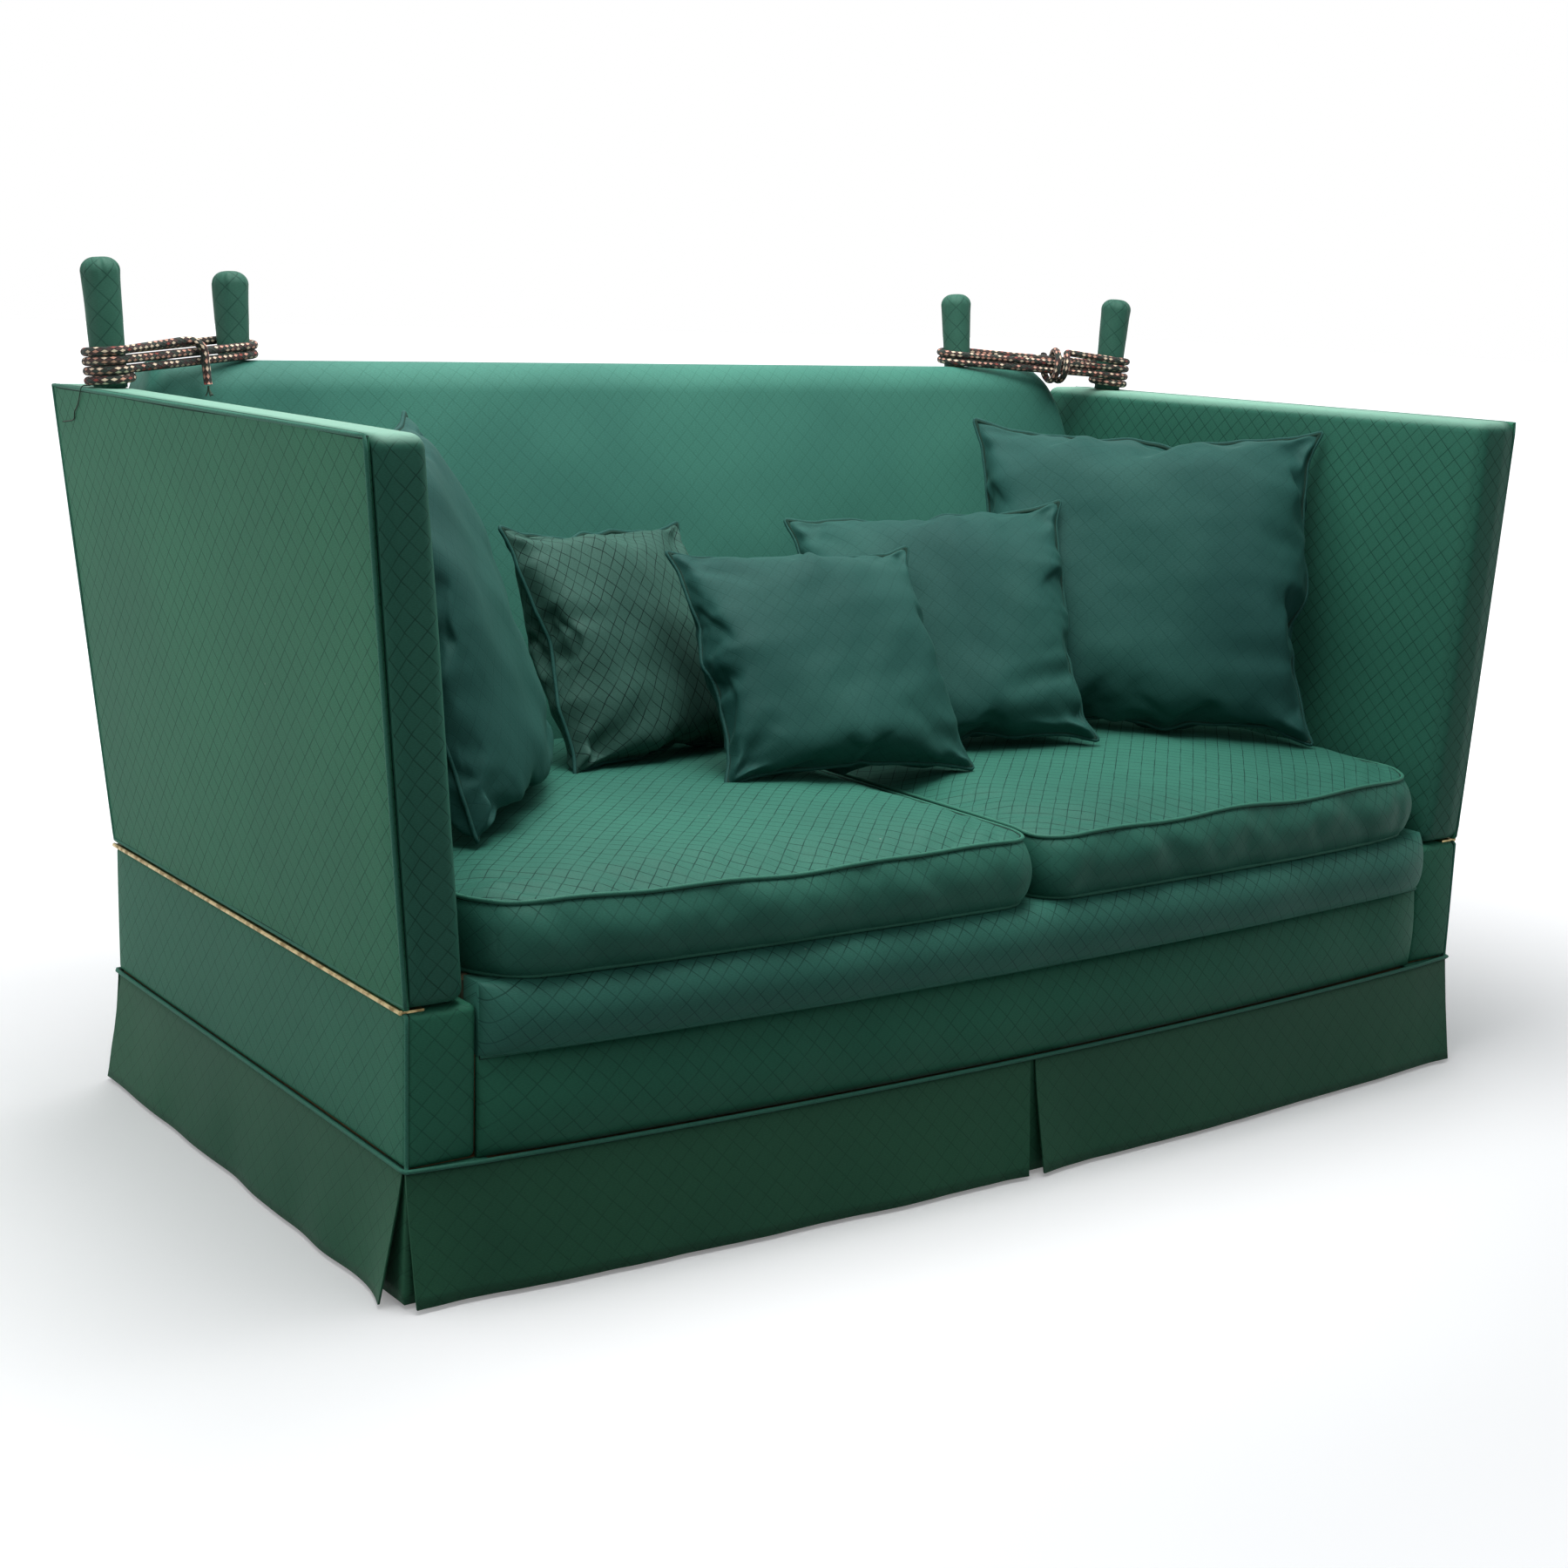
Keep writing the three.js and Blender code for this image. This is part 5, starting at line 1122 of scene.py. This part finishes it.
# name, width, height, thickness, (lean, roll, yaw), cloth, fill, seed, folds (start, end, depth, width)
scatter("right_large", 0.566, 0.524, 0.165, (24, 0, -42), CUSHION, 201, [
    ((-0.95, -0.9), (-0.45, -0.55), 0.006, 0.07), ((0.95, -0.5), (0.5, -0.42), 0.007, 0.06),
    ((0.93, 0.93), (0.55, 0.6), 0.005, 0.06), ((-0.93, 0.93), (-0.6, 0.6), 0.006, 0.06),
    ((0.7, -0.98), (0.45, -0.6), 0.004, 0.06), ((-0.98, 0.3), (-0.6, 0.2), 0.003, 0.07), *EAR_CREASES])
scatter("left_large", 0.446, 0.530, 0.150, (21, 0, 51), CUSHION, 211, [
    ((0.98, -0.55), (0.0, -0.62), 0.009, 0.06), ((0.9, 0.9), (0.5, 0.5), 0.005, 0.06),
    ((0.95, 0.1), (0.3, 0.15), 0.004, 0.07), ((0.97, -0.2), (0.2, -0.12), 0.005, 0.06),
    ((0.97, 0.42), (0.4, 0.4), 0.004, 0.06), *EAR_CREASES], 0.85, 0.028)
scatter("right_small", 0.446, 0.414, 0.140, (32, -6, -33), CUSHION, 221, [
    ((0.96, -0.45), (0.35, -0.5), 0.007, 0.06), ((0.93, -0.8), (0.4, -0.72), 0.006, 0.06),
    ((-0.9, 0.9), (-0.5, 0.5), 0.004, 0.06), ((0.9, 0.93), (0.5, 0.6), 0.004, 0.07),
    ((0.97, -0.2), (0.6, -0.3), 0.004, 0.05), *EAR_CREASES])
scatter("left_small", 0.412, 0.376, 0.128, (26, 3, 20), GREY, 231, [
    ((-0.9, 0.9), (-0.3, 0.75), 0.006, 0.06), ((0.2, -0.95), (0.05, -0.35), 0.006, 0.07),
    ((-0.8, -0.8), (-0.3, -0.45), 0.006, 0.07), ((0.9, 0.9), (0.45, 0.5), 0.006, 0.07),
    ((-0.95, 0.2), (-0.45, 0.1), 0.004, 0.06), *EAR_CREASES])
scatter("centre_small", 0.404, 0.380, 0.135, (37, 0, -9), CUSHION, 241, [
    ((-0.93, 0.9), (-0.45, 0.5), 0.005, 0.06), ((0.92, -0.9), (0.4, -0.5), 0.005, 0.06),
    ((-0.93, -0.93), (-0.6, -0.55), 0.006, 0.06), ((0.9, 0.95), (0.55, 0.7), 0.004, 0.06),
    ((-0.97, -0.2), (-0.6, -0.1), 0.003, 0.06), *EAR_CREASES])


# ---------------------------------------------------------------- seat cushions
SEAT_LOW, SEAT_PIPE = 0.3765, 0.4645
SEAT_CROWN, SEAT_STAND, SEAT_BOW, SEAT_SIDE, SEAT_DRAW = 0.026, 0.030, 0.026, 0.005, 0.007
SEAT_REAR = float(rear_at(SEAT_PIPE)) - float(back_thick(SEAT_LOW)) - CROWN - 0.003
SEAT_OUTER = HALF - ARM_THICK + lean_at(SEAT_LOW) - 0.0005 - SEAT_SIDE
SEAT_INNER = 0.001 + SEAT_SIDE
SEAT_CORNER = {-1: 0.010, 1: 0.024}
BANDS, SWELL_LIMIT = 8, 0.014


def seat_plan(sign, u, v, swell):
    """Where a place (-1 to 1, across and from the front) of a seat cushion lies in plan."""
    middle, reach = (SEAT_OUTER + SEAT_INNER) / 2, (SEAT_OUTER - SEAT_INNER) / 2
    depth = SEAT_REAR / 2 + 0.02
    outer = max(0.0, sign * u) ** 3
    radius = (0.055 + 0.03 * (sign * u > 0)) if v < 0 else 0.03
    past = np.array([abs(u) * reach - (reach - radius), abs(v) * depth - (depth - radius)])
    if past.min() > 0:
        past *= past.max() / np.linalg.norm(past)
        u = math.copysign((reach - radius + past[0]) / reach, u)
        v = math.copysign((depth - radius + past[1]) / depth, v)
    x = sign * middle + (reach + swell - SEAT_DRAW * (1 - v * v) / 2 - 0.010 * outer) * u
    front = SEAT_BOW / 2 - SEAT_STAND - SEAT_BOW * (1 - (x / INNER) ** 2) + SEAT_CORNER[sign] * outer
    return x, (SEAT_REAR + front) / 2 + ((SEAT_REAR - front) / 2 + swell) * v


def seat_cushion(side, sign, seed):
    """A boxed cushion: two squares of points, and loops of points up the boxing between them."""
    steps = 64
    spread = spread_over(steps, 0.45)
    ids = np.zeros((2, steps + 1, steps + 1), int)
    points, ontop = [], []
    for layer in (0, 1):
        for i, u in enumerate(spread):
            for j, v in enumerate(spread):
                rise = (1 - abs(u) ** 2.4) * (1 - abs(v) ** 2.4)
                height = SEAT_PIPE + SEAT_CROWN * 0.75 * rise if layer else SEAT_LOW
                ids[layer, i, j] = len(points)
                points.append((*seat_plan(sign, u, v, 0.0), height))
                ontop.append(layer * step_up(1 - max(abs(u), abs(v)), 0.0, 0.12))
    uv = [p[:2] for p in points]
    rim = rim_of(steps)
    loops = [[ids[0][k] for k in rim]]
    for t in np.arange(1, BANDS) / BANDS:
        loops.append(list(range(len(points), len(points) + len(rim))))
        for i, j in rim:
            x, y = seat_plan(sign, spread[i], spread[j], SEAT_SIDE * 0.7 * math.sin(math.pi * t) ** 0.7)
            at_front = step_up(-spread[j], 0.75, 1.0)
            y -= 0.015 * at_front * math.sin(math.pi * t) ** 0.8
            points.append((x, y, SEAT_LOW + (SEAT_PIPE - SEAT_LOW) * t))
    loops.append([ids[1][k] for k in rim])
    points = np.array(points)
    faces = []
    for i in range(steps):
        for j in range(steps):
            faces += [quad(ids[0], i, j)[::-1], quad(ids[1], i, j)]
    corners = [[uv[k] for k in face] for face in faces]
    top = points[loops[-1]]
    along = arc_lengths(np.concatenate([top, top[:1]]))
    for k, (low, high) in enumerate(zip(loops, loops[1:])):
        z0, z1 = (SEAT_PIPE - SEAT_LOW) * k / BANDS, (SEAT_PIPE - SEAT_LOW) * (k + 1) / BANDS
        for n, m in enumerate([*range(1, len(rim)), 0]):
            faces.append([low[n], low[m], high[m], high[n]])
            corners.append([(along[n], z0), (along[n + 1], z0), (along[n + 1], z1), (along[n], z1)])
    start = points.copy()
    held = sorted({*ids[0].ravel(), *loops[-1]})
    shift = swell_cloth(side + "_seat", points, faces, 18, 1.6, 0.012, held) - points
    size = np.linalg.norm(shift, axis=1)
    points += shift * np.minimum(1, SWELL_LIMIT / np.maximum(size, 1e-9))[:, None]
    # pulls that run in from the piping, and the hollows that use has left
    boxing = np.zeros(len(points))
    boxing[np.concatenate(loops[1:-1])] = 1
    ontop = np.concatenate([ontop, np.zeros(len(points) - len(ontop))])
    isfront = step_up(-(points[:, 1] - 0.02), 0.0, 0.03)
    slant = points @ np.array([[1, 0, 0], [0, 0.4, 0], [0.8, 0, 0.35]])
    pucker = 0.0020 * field(slant, 0.06, seed) + 0.0024 * field(points * (1, 0.4, 0.6), 0.14, seed + 1)
    points[:, 1] -= boxing * isfront * pucker
    points[:, 2] += ontop * (0.0026 * field(points, 0.30, seed + 2) + 0.0008 * field(points, 0.09, seed + 3))
    near_front = np.exp(-(((points[:, 1] - points[loops[-1], 1].min()) / 0.09) ** 2))
    points[:, 2] += ontop * near_front * 0.0016 * field(points * (1, 0.25, 1), 0.06, seed + 4)
    # the front piping waves a little up and down
    lift = step_up(start[:, 2], SEAT_LOW + 0.01, SEAT_PIPE) * isfront
    points[:, 2] += 0.0024 * field(start * (1, 0, 0), 0.24, seed + 5) * lift
    made = piece(side + "_seat_pad", shifted(points), faces, corners, SEAT, "base", [side + "_seat_cushion"])
    for label, loop, raised, tilt in (("top", loops[-1], 0.0, 0.8), ("under", loops[0], 0.0026, -0.5)):
        dense = eased_loop(points[loop] + (0, 0, raised), 0.006)
        out = loop_out(dense, (0, 0, 1)) + (0, 0, tilt)
        welt(side + "_seat_piping_" + label, shifted(dense), out, "base", 0.0029, True)
    subdivided(outward(made))


for side, sign in SIDES:
    seat_cushion(side, sign, 301 + sign)


# ---------------------------------------------------------------- what the solids keep: wood, jute, brass
KEPT = (("rail", WOOD), ("foot", WOOD), ("upright", WOOD), ("stile", WOOD), ("hinge", BRASS),
        ("seat_webbing", JUTE), ("sprung_seat_unit", HESSIAN))
for name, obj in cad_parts.items():
    chosen = [mat for word, mat in KEPT if word in name]
    if chosen:
        obj.data.materials.clear()
        obj.data.materials.append(chosen[0])


# ---------------------------------------------------------------- small things
rng = np.random.RandomState(7)
tip, before = routes["left"][-1], routes["left"][-4]
heading = unit(tip - before)
for k in range(9):
    bend = rng.normal(scale=0.35, size=3)
    line, way = [tip + heading * 0.002], heading
    for _ in range(7):
        way = unit(way + bend * 0.16)
        line.append(line[-1] + way * 0.0021)
    follow_arm(tube(f"frayed_strand_{k}", line, 0.0011, FRAYED, None, False, 6))

# a loose dark thread that hangs down the left arm's outer face: along, height, inset
hang = [(0.792, 0.999, 0.010), (0.800, 0.9985, 0.0), (0.805, 0.985, -0.002), (0.815, 0.977, -0.0008),
        (0.825, 0.968, -0.0008), (0.836, 0.962, -0.001), (0.838, 0.953, -0.0008), (0.845, 0.9497, -0.0008),
        (0.862, 0.9475, -0.0008), (0.884, 0.945, -0.0012)]
strung = np.array([arm_point(-1, inset - 0.0012, along, z) for along, z, inset in hang])
tube("loose_thread", resample(strung, 0.003), 0.0008, FRAYED, "left_arm", False, 6)


# ---------------------------------------------------------------- floor, light
FLOOR_GLOW, FLOOR_HALF = 0.2, 40
floor_corners = [(x * FLOOR_HALF, y * FLOOR_HALF, 0) for x, y in ((-1, -1), (1, -1), (1, 1), (-1, 1))]
floor, mesh = added_mesh("floor", floor_corners, [(0, 1, 2, 3)])
g = Finish("pale_floor", 0.9, specular=0.1)
place, seen = g.coord("Object"), g.ray()
pale = g.mix(g.noise(place, 1.5), (0.86, 0.86, 0.865, 1), (0.89, 0.89, 0.89, 1))
away = g.node("VectorMath", {0: place}, operation="LENGTH").outputs["Value"]
glow = g.times(g.ramp(away, 1.2, 3.4, FLOOR_GLOW, 1.0), seen)
mesh.materials.append(g.done(g.mix(seen, (0.12, 0.12, 0.12, 1), pale),
                             **{"Emission Color": (1, 1, 1, 1), "Emission Strength": glow}))


def lamp(name, place, aim, size, power, spread=180):
    data = bpy.data.lights.new(name, "AREA")
    data.shape, data.energy, data.spread = "RECTANGLE", power, math.radians(spread)
    data.size, data.size_y = size
    obj = added(name, data)
    turn = (Vector(aim) - Vector(place)).to_track_quat("-Z", "Y").to_matrix().to_4x4()
    obj.matrix_world = Matrix.Translation(place) @ turn
    obj.visible_camera = False


lamp("overhead", (-0.3, 0.22, 3.5), (-0.1, 0.05, 0.5), (3.4, 1.8), 98)
lamp("left_side", (-4.4, 0.4, 1.5), (-0.6, 0.2, 0.75), (2.4, 1.3), 33)
lamp("inner", (0.15, -0.45, 2.35), (0.0, 0.5, 0.95), (2.0, 0.6), 11, 110)
lamp("front_fill", (-0.8, -4.8, 2.6), (0, 0, 0.4), (3.0, 2.2), 2)
world = bpy.data.worlds.new("studio")
bpy.context.scene.world = world
world.use_nodes = True
g = Graph(world.node_tree)
sky = g.xyz(g.coord("Generated"))[2]
low = g.mix(g.ramp(sky, -0.1, 0.9), (0.03, 0.033, 0.035, 1), (0.34, 0.36, 0.38, 1))
g.put(world.node_tree.nodes["Background"], {0: g.mix(g.ray(), low, (1, 1, 1, 1)), 1: 1.0})
bpy.context.scene.view_settings.view_transform = "Standard"
camera.data.dof.use_dof = False
